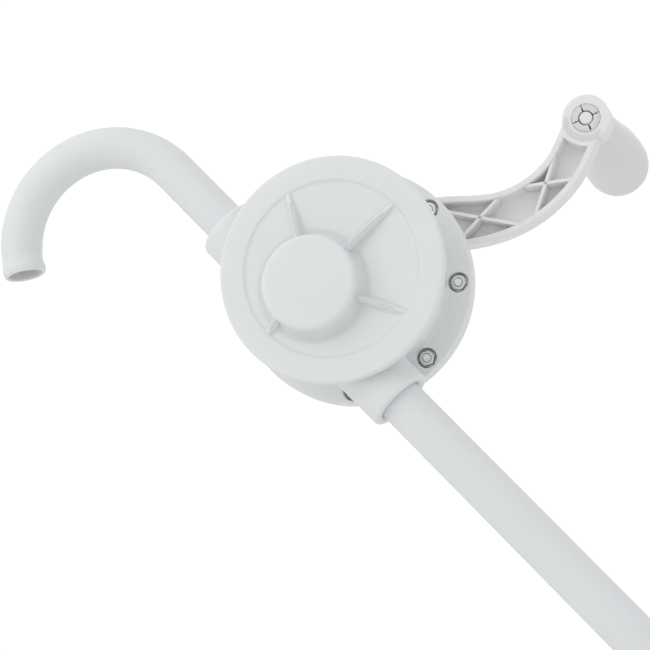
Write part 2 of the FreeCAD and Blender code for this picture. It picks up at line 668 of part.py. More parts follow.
def make_grip():
    body = turned_y("grip_blank", grip_profile(), "pin_x", "pump_z - pin_drop")
    cuts = []
    for index, (wide, tall) in enumerate(((24.0, 1.4), (1.4, 24.0))):
        item = doc.addObject("Part::Box", "leg_slot_%d" % index)
        item.Length = wide
        item.Height = tall
        item.Width = 17.0
        spin = FreeCAD.Rotation(V(0, 1, 0), 22.0)
        corner = spin.multVec(V(-wide / 2.0, 0, -tall / 2.0))
        item.Placement = FreeCAD.Placement(
            V(value["pin_x"], value["crank_front"] - 1.5, value["pump_z"] - value["pin_drop"]) + corner, spin)
        cuts.append(item)
    finish(carve("handle_knob", body, join("leg_slots", cuts)), "handle_knob")
    finish(turned_y("knob_pin", [
        ("0", "crank_front - 1"), ("4", "crank_front - 1"), ("4.9", "crank_front - 0.1"),
        ("4.9", "crank_back + 14"), ("4", "crank_back + 15"), ("0", "crank_back + 15")],
        "pin_x", "pump_z - pin_drop"), "knob_pin")


# ---------------------------------------------------------------- spout
def bent_rod(name, radius, low, tail):
    """Straight rise, a bend over towards -X and a short straight tail."""
    rise = rod_z(name + "_rise", radius, low, "pump_z + spout_bend_z")
    bend = doc.addObject("Part::Torus", name + "_bend")
    bind(bend, [("Radius1", "spout_bend_r"), ("Radius2", radius), ("Angle3", "spout_sweep")])
    place(bend, "-spout_bend_r", "0", "pump_z + spout_bend_z", FreeCAD.Rotation(V(1, 0, 0), 90))
    bend.setExpression("Placement.Base.x", "-" + ex("spout_bend_r"))
    end = doc.addObject("Part::Cylinder", name + "_tail")
    bind(end, [("Radius", radius), ("Height", tail)])
    end.Placement = FreeCAD.Placement(tail_spot(0.0), tail_turn())
    return join(name, [rise, bend, end])


def tail_spot(ahead):
    """Point on the spout axis, measured from the end of the bend."""
    angle = math.radians(value["spout_sweep"])
    radius = value["spout_bend_r"]
    start = V(radius * (math.cos(angle) - 1.0), 0,
              value["pump_z"] + value["spout_bend_z"] + radius * math.sin(angle))
    return start + V(-math.sin(angle), 0, math.cos(angle)) * ahead


def tail_turn():
    angle = math.radians(value["spout_sweep"])
    return FreeCAD.Rotation(V(0, 0, 1), V(-math.sin(angle), 0, math.cos(angle)))


def make_spout():
    start = "pump_z + outlet_end - socket_depth + 0.5"
    outer = bent_rod("spout_outer", "spout_r", start, "spout_tail")
    beads = []
    for index, ahead in enumerate((value["spout_tail"] - 3.0,)):
        bead = doc.addObject("Part::Torus", "spout_bead_%d" % index)
        bind(bead, [("Radius1", "spout_r - 0.3")])
        bead.Radius2 = 1.3
        bead.Placement = FreeCAD.Placement(tail_spot(ahead), tail_turn())
        beads.append(bead)
    inner = bent_rod("spout_inner", "spout_bore_r", start + " - 1", "spout_tail + 4")
    finish(carve("spout", join("spout_solid", [outer] + beads), inner), "spout")
    finish(ring_z("spout_oring", "spout_socket_r + ring_wire", "ring_wire - 0.02", "pump_z + ring_level"),
           "spout_oring")
    finish(ring_z("suction_oring", "tube_socket_r + ring_wire", "ring_wire - 0.02", "pump_z - ring_level"),
           "suction_oring")


# ---------------------------------------------------------------- suction tube
def tube(name, low, high):
    finish(turned_z(name, [
        ("tube_bore_r + 0.5", low), ("tube_r - 0.5", low), ("tube_r", low + " + 0.5"),
        ("tube_r", high + " - 0.5"), ("tube_r - 0.5", high), ("tube_bore_r + 0.5", high),
        ("tube_bore_r", high + " - 0.5"), ("tube_bore_r", low + " + 0.5")]), name)


def coupling(name, middle):
    finish(turned_z(name, [
        ("tube_socket_r + 0.6", middle + " - 25"), ("coupling_r - 1", middle + " - 25"),
        ("coupling_r", middle + " - 24"), ("coupling_r", middle + " + 24"),
        ("coupling_r - 1", middle + " + 25"), ("tube_socket_r + 0.6", middle + " + 25"),
        ("tube_socket_r", middle + " + 24"), ("tube_socket_r", middle + " + 1"),
        ("tube_bore_r", middle + " + 0.9"), ("tube_bore_r", middle + " - 0.9"),
        ("tube_socket_r", middle + " - 1"), ("tube_socket_r", middle + " - 24")]), name)


def make_suction():
    tube("suction_tube_upper", "joint_one + 1.1", "pump_z - inlet_end + socket_depth - 0.5")
    tube("suction_tube_middle", "joint_two + 1.1", "joint_one - 1.1")
    tube("suction_tube_lower", "tube_foot", "joint_two - 1.1")
    coupling("tube_coupling_upper", "joint_one")
    coupling("tube_coupling_lower", "joint_two")

    cup = turned_z("strainer_cup", [
        ("0", "strainer_foot"), ("coupling_r - 4", "strainer_foot"),
        ("coupling_r - 0.6", "strainer_foot + 4"), ("coupling_r - 0.6", "tube_foot + 24"),
        ("coupling_r - 1.4", "tube_foot + 25"), ("tube_socket_r", "tube_foot + 25"),
        ("tube_socket_r", "tube_foot - 0.2"), ("tube_bore_r + 0.5", "tube_foot - 0.2"),
        ("tube_bore_r + 0.5", "strainer_foot + 3"), ("0", "strainer_foot + 3")])
    slots = []
    for index in range(6):
        slot = doc.addObject("Part::Box", "strainer_slot_%d" % index)
        slot.Length = 48.0
        slot.Width = 3.4
        slot.Height = 20.0
        spin = FreeCAD.Rotation(V(0, 0, 1), 30.0 * index)
        corner = spin.multVec(V(-24.0, -1.7, 0))
        slot.Placement = FreeCAD.Placement(corner, spin)
        slot.setExpression("Placement.Base.z", ex("strainer_foot + 6"))
        slots.append(slot)
    slots.append(rod_z("strainer_eye", "5", "strainer_foot - 1", "strainer_foot + 5"))
    finish(carve("foot_strainer", cup, join("strainer_slots", slots)), "foot_strainer")


# ---------------------------------------------------------------- bung adapter
def make_adapter():
    body = turned_z("adapter_blank", [
        ("adapter_bore_r + 0.8", "-bung_thread_len"), ("bung_thread_r - 1.6", "-bung_thread_len"),
        ("bung_thread_r", "1.6 - bung_thread_len"), ("bung_thread_r", "0"), ("bung_relief_r", "0"),
        ("bung_relief_r", "2.4"), ("36.5", "2.4"),
        ("37.5", "3.4"), ("37.5", "9"), ("36.3", "10.4"), ("adapter_r + 2.5", "10.4"),
        ("adapter_r", "12.5"), ("adapter_r", "adapter_top - 1.5"), ("adapter_r - 1.5", "adapter_top"),
        ("adapter_bore_r + 0.8", "adapter_top"), ("adapter_bore_r", "adapter_top - 0.8"),
        ("adapter_bore_r", "0.8 - bung_thread_len")])
    lugs = []
    for index in range(6):
        lug = doc.addObject("Part::Box", "grip_lug_%d" % index)
        lug.Length = 16.0
        lug.Width = 7.0
        lug.Height = 7.4
        spin = FreeCAD.Rotation(V(0, 0, 1), 60.0 * index + 30.0)
        lug.Placement = FreeCAD.Placement(spin.multVec(V(26.0, -3.5, 0)) + V(0, 0, 3.2), spin)
        lugs.append(lug)
    pad = rod_y("screw_pad", "8", "0", "screw_z", "-27.5", "-17.5")
    solid = join("adapter_solid", [body, pad] + lugs)
    bore = rod_z("adapter_bore", "adapter_bore_r", "-bung_thread_len", "adapter_top + 1")
    bore.setExpression("Placement.Base.z", "-" + ex("bung_thread_len") + " - 1")
    bore.setExpression("Height", ex("adapter_top + bung_thread_len + 2"))
    hole = rod_y("screw_tapping", "4.06", "0", "screw_z", "-30", "-10")
    finish(carve("bung_adapter", solid, join("adapter_hollows", [bore, hole])), "bung_adapter")
    finish(turned_z("bung_gasket", [
        ("bung_relief_r + 0.1", "0.05"), ("36.2", "0.05"), ("36.6", "0.4"), ("36.6", "1.9"), ("36.2", "2.3"),
        ("bung_relief_r + 0.1", "2.3")]), "bung_gasket")

    stem = rod_y("thumb_stem", "4", "0", "screw_z", "-33", "-16.7")
    stem.setExpression("Placement.Base.z", ex("screw_z"))
    grip = rod_y("thumb_grip", "10.5", "0", "screw_z", "-44", "-32")
    web = block("thumb_wing", "-14", "-43", "screw_z - 2.2", "28", "10", "4.4")
    finish(join("thumb_screw", [stem, grip, web]), "thumb_screw")


make_pump_body()
make_cover()
make_fasteners()
make_bearings()
make_rotor()
make_vane("vane_upper", 1)
make_vane("vane_lower", -1)
make_springs("vane_springs_upper", 1)
make_springs("vane_springs_lower", -1)
make_crank()
make_grip()
make_spout()
make_suction()
make_adapter()
doc.recompute()

# ---------------------------------------------------------------- checks and files
for item in doc.Objects:
    if "Invalid" in item.State or "Error" in item.State:
        raise RuntimeError("object %s is in error" % item.Label)
for item, label in PIECES:
    shape = item.Shape
    if shape.isNull() or not shape.isValid():
        raise RuntimeError("piece %s has a bad shape" % label)
    shape.exportStep("parts/%s.step" % label)
    box = shape.BoundBox
    print("%-22s %9.1f cm3  x %7.1f %7.1f  y %7.1f %7.1f  z %7.1f %7.1f  solids %d" % (
        label, shape.Volume / 1000.0, box.XMin, box.XMax, box.YMin, box.YMax, box.ZMin, box.ZMax,
        len(shape.Solids)))
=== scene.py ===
import math

import bmesh
import bpy
import numpy as np
from mathutils import Matrix, Vector


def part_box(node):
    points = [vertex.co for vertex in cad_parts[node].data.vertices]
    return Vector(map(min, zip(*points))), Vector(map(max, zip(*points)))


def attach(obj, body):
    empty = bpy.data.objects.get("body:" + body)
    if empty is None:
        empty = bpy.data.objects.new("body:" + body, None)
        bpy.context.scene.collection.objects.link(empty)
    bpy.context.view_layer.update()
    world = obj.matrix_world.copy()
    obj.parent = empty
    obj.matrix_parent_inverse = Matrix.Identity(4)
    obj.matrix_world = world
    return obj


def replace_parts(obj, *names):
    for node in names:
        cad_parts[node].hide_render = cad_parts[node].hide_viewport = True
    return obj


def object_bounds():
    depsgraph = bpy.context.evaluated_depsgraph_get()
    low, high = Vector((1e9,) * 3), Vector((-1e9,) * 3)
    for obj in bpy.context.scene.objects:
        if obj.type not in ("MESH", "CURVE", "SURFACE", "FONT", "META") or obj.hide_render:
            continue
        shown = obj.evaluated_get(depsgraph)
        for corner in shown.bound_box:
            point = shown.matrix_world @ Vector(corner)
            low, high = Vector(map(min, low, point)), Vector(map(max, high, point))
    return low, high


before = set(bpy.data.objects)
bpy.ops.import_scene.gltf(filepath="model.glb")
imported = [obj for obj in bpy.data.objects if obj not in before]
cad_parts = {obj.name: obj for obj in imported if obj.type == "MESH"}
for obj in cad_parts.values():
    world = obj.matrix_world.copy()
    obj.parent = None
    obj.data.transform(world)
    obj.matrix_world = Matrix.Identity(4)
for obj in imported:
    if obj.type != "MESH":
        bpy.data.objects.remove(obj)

cad_low, cad_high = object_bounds()

# ---------------------------------------------------------------- studio
# The pump hangs in a white light tent: even light from all sides, one broad soft light above and in front,
# a weak one from behind, and a pale floor far below.  The camera looks up at it and is rolled.
scene = bpy.context.scene
scene.view_settings.view_transform = "Standard"
MM = 0.001


def middle(node):
    """Centre of a CAD node's box, in millimetres."""
    low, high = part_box(node)
    return (np.array(low) + np.array(high)) / 2.0 / MM


case_x, _, pump_z = middle("cover_gasket")
rotor_x = middle("front_bush")[0]
pin_x, _, pin_z = middle("knob_pin")

tent = bpy.data.worlds.new("light_tent")
tent.use_nodes = True
tent.node_tree.nodes.clear()
seen = tent.node_tree.nodes.new("ShaderNodeBackground")
lit = tent.node_tree.nodes.new("ShaderNodeBackground")
seen.inputs["Color"].default_value = (1.0, 1.0, 1.0, 1.0)
seen.inputs["Strength"].default_value = 1.05
lit.inputs["Color"].default_value = (0.970, 0.990, 1.0, 1.0)
lit.inputs["Strength"].default_value = 0.83
rays = tent.node_tree.nodes.new("ShaderNodeLightPath")
choice = tent.node_tree.nodes.new("ShaderNodeMixShader")
sky = tent.node_tree.nodes.new("ShaderNodeOutputWorld")
tent.node_tree.links.new(rays.outputs["Is Camera Ray"], choice.inputs[0])
tent.node_tree.links.new(lit.outputs[0], choice.inputs[1])
tent.node_tree.links.new(seen.outputs[0], choice.inputs[2])
tent.node_tree.links.new(choice.outputs[0], sky.inputs["Surface"])
scene.world = tent

focus = Vector((0.0, 0.0, pump_z * MM))
for name, spot, size, power in (("soft_light_above", (-0.35, -1.25, 1.75), 1.5, 6.5),
                                ("soft_light_behind", (0.5, 1.6, 1.2), 1.4, 4.0)):
    lamp = bpy.data.lights.new(name, "AREA")
    lamp.size = size
    lamp.energy = power
    holder = bpy.data.objects.new(name, lamp)
    holder.matrix_world = Matrix.LocRotScale(
        Vector(spot), (Vector(spot) - focus).to_track_quat("Z", "Y"), None)
    holder.visible_camera = False
    scene.collection.objects.link(holder)

azimuth, elevation, roll = (math.radians(v) for v in (4.18, -18.11, -44.65))
backward = Vector((math.sin(azimuth) * math.cos(elevation), -math.cos(azimuth) * math.cos(elevation),
                   math.sin(elevation)))
rightward = (-backward).cross(Vector((0, 0, 1))).normalized()
upward = rightward.cross(-backward)
turned_right = rightward * math.cos(roll) + upward * math.sin(roll)
turned_up = upward * math.cos(roll) - rightward * math.sin(roll)
aim = Vector(((case_x - 33.19) * MM, 0.0, (pump_z - 14.89) * MM))
lens = bpy.data.cameras.new("camera")
lens.sensor_width = 36.0
lens.lens = 133.85
lens.clip_end = 50.0
camera = bpy.data.objects.new("camera", lens)
camera.matrix_world = Matrix.Translation(aim + backward * 1.724) @ Matrix(
    (turned_right, turned_up, backward)).transposed().to_4x4()
scene.collection.objects.link(camera)
scene.camera = camera

floor_mesh = bpy.data.meshes.new("floor")
floor_mesh.from_pydata([(-6, -6, cad_low[2] - 0.004), (6, -6, cad_low[2] - 0.004),
                        (6, 6, cad_low[2] - 0.004), (-6, 6, cad_low[2] - 0.004)], [], [(0, 1, 2, 3)])
floor_paint = bpy.data.materials.new("pale_floor")
floor_paint.use_nodes = True
floor_paint.node_tree.nodes["Principled BSDF"].inputs["Base Color"].default_value = (0.86, 0.86, 0.86, 1)
floor_paint.node_tree.nodes["Principled BSDF"].inputs["Roughness"].default_value = 0.7
floor_mesh.materials.append(floor_paint)
floor = bpy.data.objects.new("floor", floor_mesh)
scene.collection.objects.link(floor)


# ---------------------------------------------------------------- pump housing
# One injection moulding in white polypropylene: front disc with a shallow recess, round casing, and a
# flange with eight round nut pockets.  The off-centre boss holds the front bearing; four ribs brace it.
def effect(name, inputs, outputs):
    """Empty shader node group with named sockets; returns it with its two ends."""
    group = bpy.data.node_groups.new(name, "ShaderNodeTree")
    for title, number in inputs:
        socket = group.interface.new_socket(title, in_out="INPUT", socket_type="NodeSocketFloat")
        socket.default_value = number
    for title in outputs:
        group.interface.new_socket(title, in_out="OUTPUT", socket_type="NodeSocketFloat")
    return group, group.nodes.new("NodeGroupInput"), group.nodes.new("NodeGroupOutput")


def wire(tree, kind, links=(), **settings):
    """Add a node, set its properties and sockets, and plug the given outputs into it."""
    node = tree.nodes.new(kind)
    for title, number in settings.items():
        if hasattr(node, title) and title not in node.inputs:
            setattr(node, title, number)
        else:
            node.inputs[title.replace("_", " ")].default_value = number
    for socket, source in links:
        tree.links.new(source, node.inputs[socket])
    return node


def sums(tree, operation, first, second, third=None):
    """Math node on sockets or plain numbers."""
    node = tree.nodes.new("ShaderNodeMath")
    node.operation = operation
    for slot, item in enumerate((first, second, third)):
        if item is None:
            continue
        if isinstance(item, (int, float)):
            node.inputs[slot].default_value = item
        else:
            tree.links.new(item, node.inputs[slot])
    return node.outputs[0]


moulded_skin, skin_in, skin_out = effect(
    "moulded_skin", [("Grain", 900.0), ("Flow", 45.0), ("Patch", 14.0)], ["Height", "Mottle"])
place = wire(moulded_skin, "ShaderNodeTexCoord").outputs["Object"]
grain = wire(moulded_skin, "ShaderNodeTexNoise", [("Vector", place), ("Scale", skin_in.outputs["Grain"])],
             Detail=3.0, Roughness=0.6)
flow = wire(moulded_skin, "ShaderNodeTexNoise", [("Vector", place), ("Scale", skin_in.outputs["Flow"])],
            Detail=2.0, Roughness=0.45, Distortion=0.6)
patch = wire(moulded_skin, "ShaderNodeTexNoise", [("Vector", place), ("Scale", skin_in.outputs["Patch"])],
             Detail=4.0, Roughness=0.55)
relief = sums(moulded_skin, "MULTIPLY_ADD", grain.outputs["Fac"], 0.16, flow.outputs["Fac"])
moulded_skin.links.new(relief, skin_out.inputs["Height"])
moulded_skin.links.new(patch.outputs["Fac"], skin_out.inputs["Mottle"])

# Edge marks convex edges for rubbed wear; the second output marks concave hollows and crevices, where the
# materials paint in shade.
worn_edges_and_painted_hollow_shade, rub_in, rub_out = effect("worn_edges_and_painted_hollow_shade", [("Reach", 0.06), ("Breakup", 160.0)],
                                       ["Edge", "PaintedShade"])
bend = wire(worn_edges_and_painted_hollow_shade, "ShaderNodeNewGeometry").outputs["Pointiness"]
rub_place = wire(worn_edges_and_painted_hollow_shade, "ShaderNodeTexCoord").outputs["Object"]
breakup = wire(worn_edges_and_painted_hollow_shade, "ShaderNodeTexNoise",
               [("Vector", rub_place), ("Scale", rub_in.outputs["Breakup"])],
               Detail=4.0, Roughness=0.7).outputs["Fac"]
rise = sums(worn_edges_and_painted_hollow_shade, "SUBTRACT", bend, 0.505)
rise = sums(worn_edges_and_painted_hollow_shade, "DIVIDE", rise, rub_in.outputs["Reach"])
rise = sums(worn_edges_and_painted_hollow_shade, "MULTIPLY", rise, sums(worn_edges_and_painted_hollow_shade, "MULTIPLY_ADD", breakup, 1.4, 0.2))
edge = wire(worn_edges_and_painted_hollow_shade, "ShaderNodeClamp", [("Value", rise)])
drop = sums(worn_edges_and_painted_hollow_shade, "SUBTRACT", 0.495, bend)
drop = sums(worn_edges_and_painted_hollow_shade, "DIVIDE", drop, rub_in.outputs["Reach"])
hollow = wire(worn_edges_and_painted_hollow_shade, "ShaderNodeClamp", [("Value", drop)])
worn_edges_and_painted_hollow_shade.links.new(edge.outputs[0], rub_out.inputs["Edge"])
worn_edges_and_painted_hollow_shade.links.new(hollow.outputs[0], rub_out.inputs["PaintedShade"])

fine_scuffs, scuff_in, scuff_out = effect("fine_scuffs", [("Along", 30.0), ("Across", 900.0)], ["Mark"])
scuff_place = wire(fine_scuffs, "ShaderNodeTexCoord").outputs["Object"]
stretch = wire(fine_scuffs, "ShaderNodeCombineXYZ", [("X", scuff_in.outputs["Across"]),
                                                     ("Y", scuff_in.outputs["Along"]),
                                                     ("Z", scuff_in.outputs["Along"])])
laid = wire(fine_scuffs, "ShaderNodeVectorMath", [(0, scuff_place), (1, stretch.outputs[0])],
            operation="MULTIPLY")
streak = wire(fine_scuffs, "ShaderNodeTexNoise", [("Vector", laid.outputs[0])], Scale=1.0, Detail=2.0,
              Roughness=0.5, Distortion=0.35).outputs["Fac"]
sparse = sums(fine_scuffs, "MULTIPLY", sums(fine_scuffs, "SUBTRACT", streak, 0.62), 7.0)
fine_scuffs.links.new(wire(fine_scuffs, "ShaderNodeClamp", [("Value", sparse)]).outputs[0],
                      scuff_out.inputs["Mark"])


def use(tree, group, **numbers):
    """Place one of the shared effects in a material with its own values."""
    node = tree.nodes.new("ShaderNodeGroup")
    node.node_tree = group
    for title, number in numbers.items():
        node.inputs[title].default_value = number
    return node


def blend_colours(tree, amount, first, second):
    """Mix two colours or colour sockets by a mask."""
    node = tree.nodes.new("ShaderNodeMix")
    node.data_type = "RGBA"
    tree.links.new(amount, node.inputs["Factor"])
    for socket, item in ((node.inputs[6], first), (node.inputs[7], second)):
        if isinstance(item, tuple):
            socket.default_value = item + (1.0,)
        else:
            tree.links.new(item, socket)
    return node.outputs[2]


def plastic(name, colour, shade, rough, grain_size=900.0, milk=0.0, scuff=(30.0, 900.0), gloss_level=0.28,
            glow=0.0035):
    """Moulded plastic: mottled colour, rubbed edges, painted shade in the hollows, fine grain and a few scuffs.
    """
    finish = bpy.data.materials.new(name)
    finish.use_nodes = True
    tree = finish.node_tree
    shader = tree.nodes["Principled BSDF"]
    surface = use(tree, moulded_skin, Grain=grain_size)
    edge_wear_and_hollow_shade = use(tree, worn_edges_and_painted_hollow_shade, Reach=0.06)
    marks = use(tree, fine_scuffs, Along=scuff[0], Across=scuff[1])
    mottle = sums(tree, "MULTIPLY_ADD", surface.outputs["Mottle"], 1.6, -0.3)
    tone = blend_colours(tree, mottle, colour, shade)
    # Painted shade: the hollows are darkened towards 0.78 of the shade colour.
    painted_hollow_shade = blend_colours(tree, sums(tree, "MULTIPLY", edge_wear_and_hollow_shade.outputs["PaintedShade"], 0.45), tone,
                          tuple(c * 0.78 for c in shade))
    bright = blend_colours(tree, sums(tree, "MULTIPLY", edge_wear_and_hollow_shade.outputs["Edge"], 0.5), painted_hollow_shade,
                           tuple(min(1.0, c * 1.07) for c in colour))
    tree.links.new(bright, shader.inputs["Base Color"])
    gloss = sums(tree, "MULTIPLY_ADD", surface.outputs["Mottle"], 0.12, rough - 0.06)
    gloss = sums(tree, "MULTIPLY_ADD", edge_wear_and_hollow_shade.outputs["Edge"], -0.10, gloss)
    gloss = sums(tree, "MULTIPLY_ADD", marks.outputs["Mark"], 0.12, gloss)
    tree.links.new(gloss, shader.inputs["Roughness"])
    lift = sums(tree, "MULTIPLY_ADD", marks.outputs["Mark"], -0.12, surface.outputs["Height"])
    bump = wire(tree, "ShaderNodeBump", [("Height", lift)], Strength=0.35, Distance=0.00012)
    tree.links.new(bump.outputs[0], shader.inputs["Normal"])
    shader.inputs["IOR"].default_value = 1.49
    shader.inputs["Specular IOR Level"].default_value = gloss_level
    if milk:
        shader.inputs["Subsurface Weight"].default_value = milk
        shader.inputs["Subsurface Radius"].default_value = (1.0, 0.98, 0.95)
        shader.inputs["Subsurface Scale"].default_value = glow
    return finish


white_moulding = plastic("white_moulding", (0.840, 0.845, 0.848), (0.805, 0.811, 0.814), 0.44, milk=0.12)


def eased(corners, closed=False, steps=6):
    """Rounds a profile.  Each corner (radius, along, ease) becomes the curve (1-t)^2 A + 2t(1-t) C + t^2 B,
    where A and B lie a distance of ease before and after the corner C."""
    spots = np.array([c[:2] for c in corners], float)
    share = np.linspace(0.0, 1.0, steps)[:, None]
    rows = []
    for index, corner in enumerate(corners):
        ease = corner[2] if len(corner) > 2 else 0.0
        at_end = not closed and index in (0, len(corners) - 1)
        if ease == 0.0 or at_end:
            rows.append(spots[index:index + 1])
            continue
        here = spots[index]
        before = spots[index - 1] - here
        after = spots[(index + 1) % len(corners)] - here
        start = here + before / np.linalg.norm(before) * ease
        stop = here + after / np.linalg.norm(after) * ease
        rows.append((1 - share) ** 2 * start + 2 * share * (1 - share) * here + share ** 2 * stop)
    return np.concatenate(rows)


def turned(profile, centre, along="y", count=224, closed=False):
    """Surface of revolution: point = centre + distance * axis + radius * (cos a, sin a) across the axis,
    for every profile row (radius, distance) and every angle a."""
    angle = np.linspace(0.0, 2.0 * np.pi, count, endpoint=False)
    flat = np.zeros_like(angle)
    radius, reach = np.asarray(profile, float).T
    if along == "y":
        around, axis = np.stack([np.cos(angle), flat, np.sin(angle)], -1), np.array([0.0, 1.0, 0.0])
    else:
        around, axis = np.stack([np.cos(angle), np.sin(angle), flat], -1), np.array([0.0, 0.0, 1.0])
    points = radius[:, None, None] * around[None] + reach[:, None, None] * axis + np.array(centre, float)
    return points, closed, True


def mould(name, skins, body, finish, crease=42.0):
    """One piece from point grids in millimetres.  Cell (i, j) is the quad (i,j) (i+1,j) (i+1,j+1) (i,j+1);
    a wrapped side joins its last row to its first.  Poles and seams are merged, faces turned outwards."""
    points, quads, start = [], [], 0
    for grid, wrap_rows, wrap_columns in skins:
        number = start + np.arange(grid.shape[0] * grid.shape[1]).reshape(grid.shape[:2])
        near = number if wrap_rows else number[:-1]
        far = np.roll(number, -1, 0) if wrap_rows else number[1:]
        if wrap_columns:
            cells = (near, far, np.roll(far, -1, 1), np.roll(near, -1, 1))
        else:
            cells = (near[:, :-1], far[:, :-1], far[:, 1:], near[:, 1:])
        quads.append(np.stack(cells, -1).reshape(-1, 4))
        points.append(grid.reshape(-1, 3) * MM)
        start += number.size
    mesh = bpy.data.meshes.new(name)
    mesh.from_pydata(np.concatenate(points).tolist(), [], np.concatenate(quads).tolist())
    work = bmesh.new()
    work.from_mesh(mesh)
    bmesh.ops.remove_doubles(work, verts=work.verts, dist=2e-7)
    bmesh.ops.dissolve_degenerate(work, edges=work.edges, dist=1e-8)
    bmesh.ops.recalc_face_normals(work, faces=work.faces)
    work.to_mesh(mesh)
    work.free()
    mesh.shade_smooth()
    mesh.set_sharp_from_angle(angle=math.radians(crease))
    mesh.materials.append(finish)
    piece = bpy.data.objects.new(name, mesh)
    scene.collection.objects.link(piece)
    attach(piece, body)
    return piece


def capped(grid):
    """Close both ends of a tube-like grid by shrinking one more row at each end to its centre."""
    first = np.repeat(grid[:1].mean(1, keepdims=True), grid.shape[1], 1)
    last = np.repeat(grid[-1:].mean(1, keepdims=True), grid.shape[1], 1)
    return np.concatenate([first, grid, last])


FRONT, RECESS, DISC_BACK = -35.2, -34.2, -27.2
FLANGE_FRONT, FLANGE_BACK, NUT_SEAT = 31.0, 44.0, 38.0
CASE_R, CHAMBER_R, RECESS_R = 69.2, 63.0, 62.6
FLANGE_R, RING_R, POCKET_R = 87.0, 77.0, 7.4
shell_profile = eased([
    (0.0, RECESS), (62.2, RECESS, 1.6), (64.2, FRONT, 1.4), (81.6, FRONT, 2.6), (81.6, DISC_BACK, 1.2),
    (CASE_R, DISC_BACK, 3.0), (CASE_R, FLANGE_FRONT - 3.0), (66.0, FLANGE_FRONT - 3.0),
    (66.0, FLANGE_BACK - 1.0), (CHAMBER_R, FLANGE_BACK - 1.0), (CHAMBER_R, DISC_BACK, 1.5),
    (0.0, DISC_BACK)])
housing_shell = turned(shell_profile, (case_x, 0.0, pump_z), count=288)


def flange_sector(step):
    """One eighth of the flange, with its nut pocket.  For each heading round the bolt, rows run from the
    middle of the pocket floor out to its wall, up the wall, over an eased lip, and then in a straight line to
    the sector's edge.  Near the casing wall the face rises in a fillet: height = fillet height times
    1 - sqrt(1 - t^2), where t grows from 0 to 1 towards the wall."""
    turn = math.radians(45.0 * step)
    half = math.pi / 8.0
    sides = 44
    rail = np.linspace(-1.0, 1.0, sides, endpoint=False)
    inner, outer = CASE_R, FLANGE_R - 1.2
    loop = np.concatenate([
        np.stack([outer * np.cos(rail * half), outer * np.sin(rail * half)], -1),
        np.stack([(outer + (inner - outer) * (rail + 1) / 2) * math.cos(half),
                  (outer + (inner - outer) * (rail + 1) / 2) * math.sin(half)], -1),
        np.stack([inner * np.cos(-rail * half), inner * np.sin(-rail * half)], -1),
        np.stack([(inner + (outer - inner) * (rail + 1) / 2) * math.cos(half),
                  -(inner + (outer - inner) * (rail + 1) / 2) * math.sin(half)], -1)])
    away = loop - np.array([RING_R, 0.0])
    heading = away / np.linalg.norm(away, axis=1, keepdims=True)
    rows, depth = [], []
    for radius, y in ((0.0, NUT_SEAT), (3.3, NUT_SEAT), (POCKET_R - 0.5, NUT_SEAT),
                      (POCKET_R - 0.1, NUT_SEAT - 0.15), (POCKET_R, NUT_SEAT - 0.6),
                      (POCKET_R, FLANGE_FRONT + 3.0), (POCKET_R, FLANGE_FRONT + 0.7),
                      (POCKET_R + 0.06, FLANGE_FRONT + 0.35), (POCKET_R + 0.2, FLANGE_FRONT + 0.12),
                      (POCKET_R + 0.45, FLANGE_FRONT)):
        rows.append(np.array([RING_R, 0.0]) + radius * heading)
        depth.append(np.full(len(loop), y))
    rim = rows[-1]
    for share in np.linspace(0.0, 1.0, 15)[1:] ** 0.8:
        rows.append(rim + (loop - rim) * share)
        depth.append(np.full(len(loop), FLANGE_FRONT))
    flat, depth = np.array(rows), np.array(depth)
    radius = np.linalg.norm(flat, axis=-1)
    fillet_width, fillet_height = 2.6, 3.0
    root = np.clip((CASE_R + fillet_width - radius) / fillet_width, 0.0, 1.0)
    depth = np.where(depth <= FLANGE_FRONT + 0.8, depth - fillet_height * (1.0 - np.sqrt(1.0 - root ** 2)),
                     depth)
    x = flat[..., 0] * math.cos(turn) - flat[..., 1] * math.sin(turn)
    z = flat[..., 0] * math.sin(turn) + flat[..., 1] * math.cos(turn)
    return np.stack([case_x + x, depth, pump_z + z], -1), False, True


flange_edge = turned(eased([
    (FLANGE_R - 1.2, FLANGE_FRONT), (FLANGE_R, FLANGE_FRONT, 1.1), (FLANGE_R, FLANGE_BACK, 0.6),
    (CHAMBER_R, FLANGE_BACK, 0.4), (CHAMBER_R, FLANGE_BACK - 1.5)], steps=7), (case_x, 0.0, pump_z), count=352)

BOSS_FACE = -50.7
boss_profile = eased([
    (0.0, BOSS_FACE), (34.0, BOSS_FACE, 4.4), (34.9, RECESS, 4.6), (41.0, RECESS + 0.15), (41.0, -30.0),
    (0.0, -30.0)])
boss_skin = turned(boss_profile, (rotor_x, 0.0, pump_z), count=224)


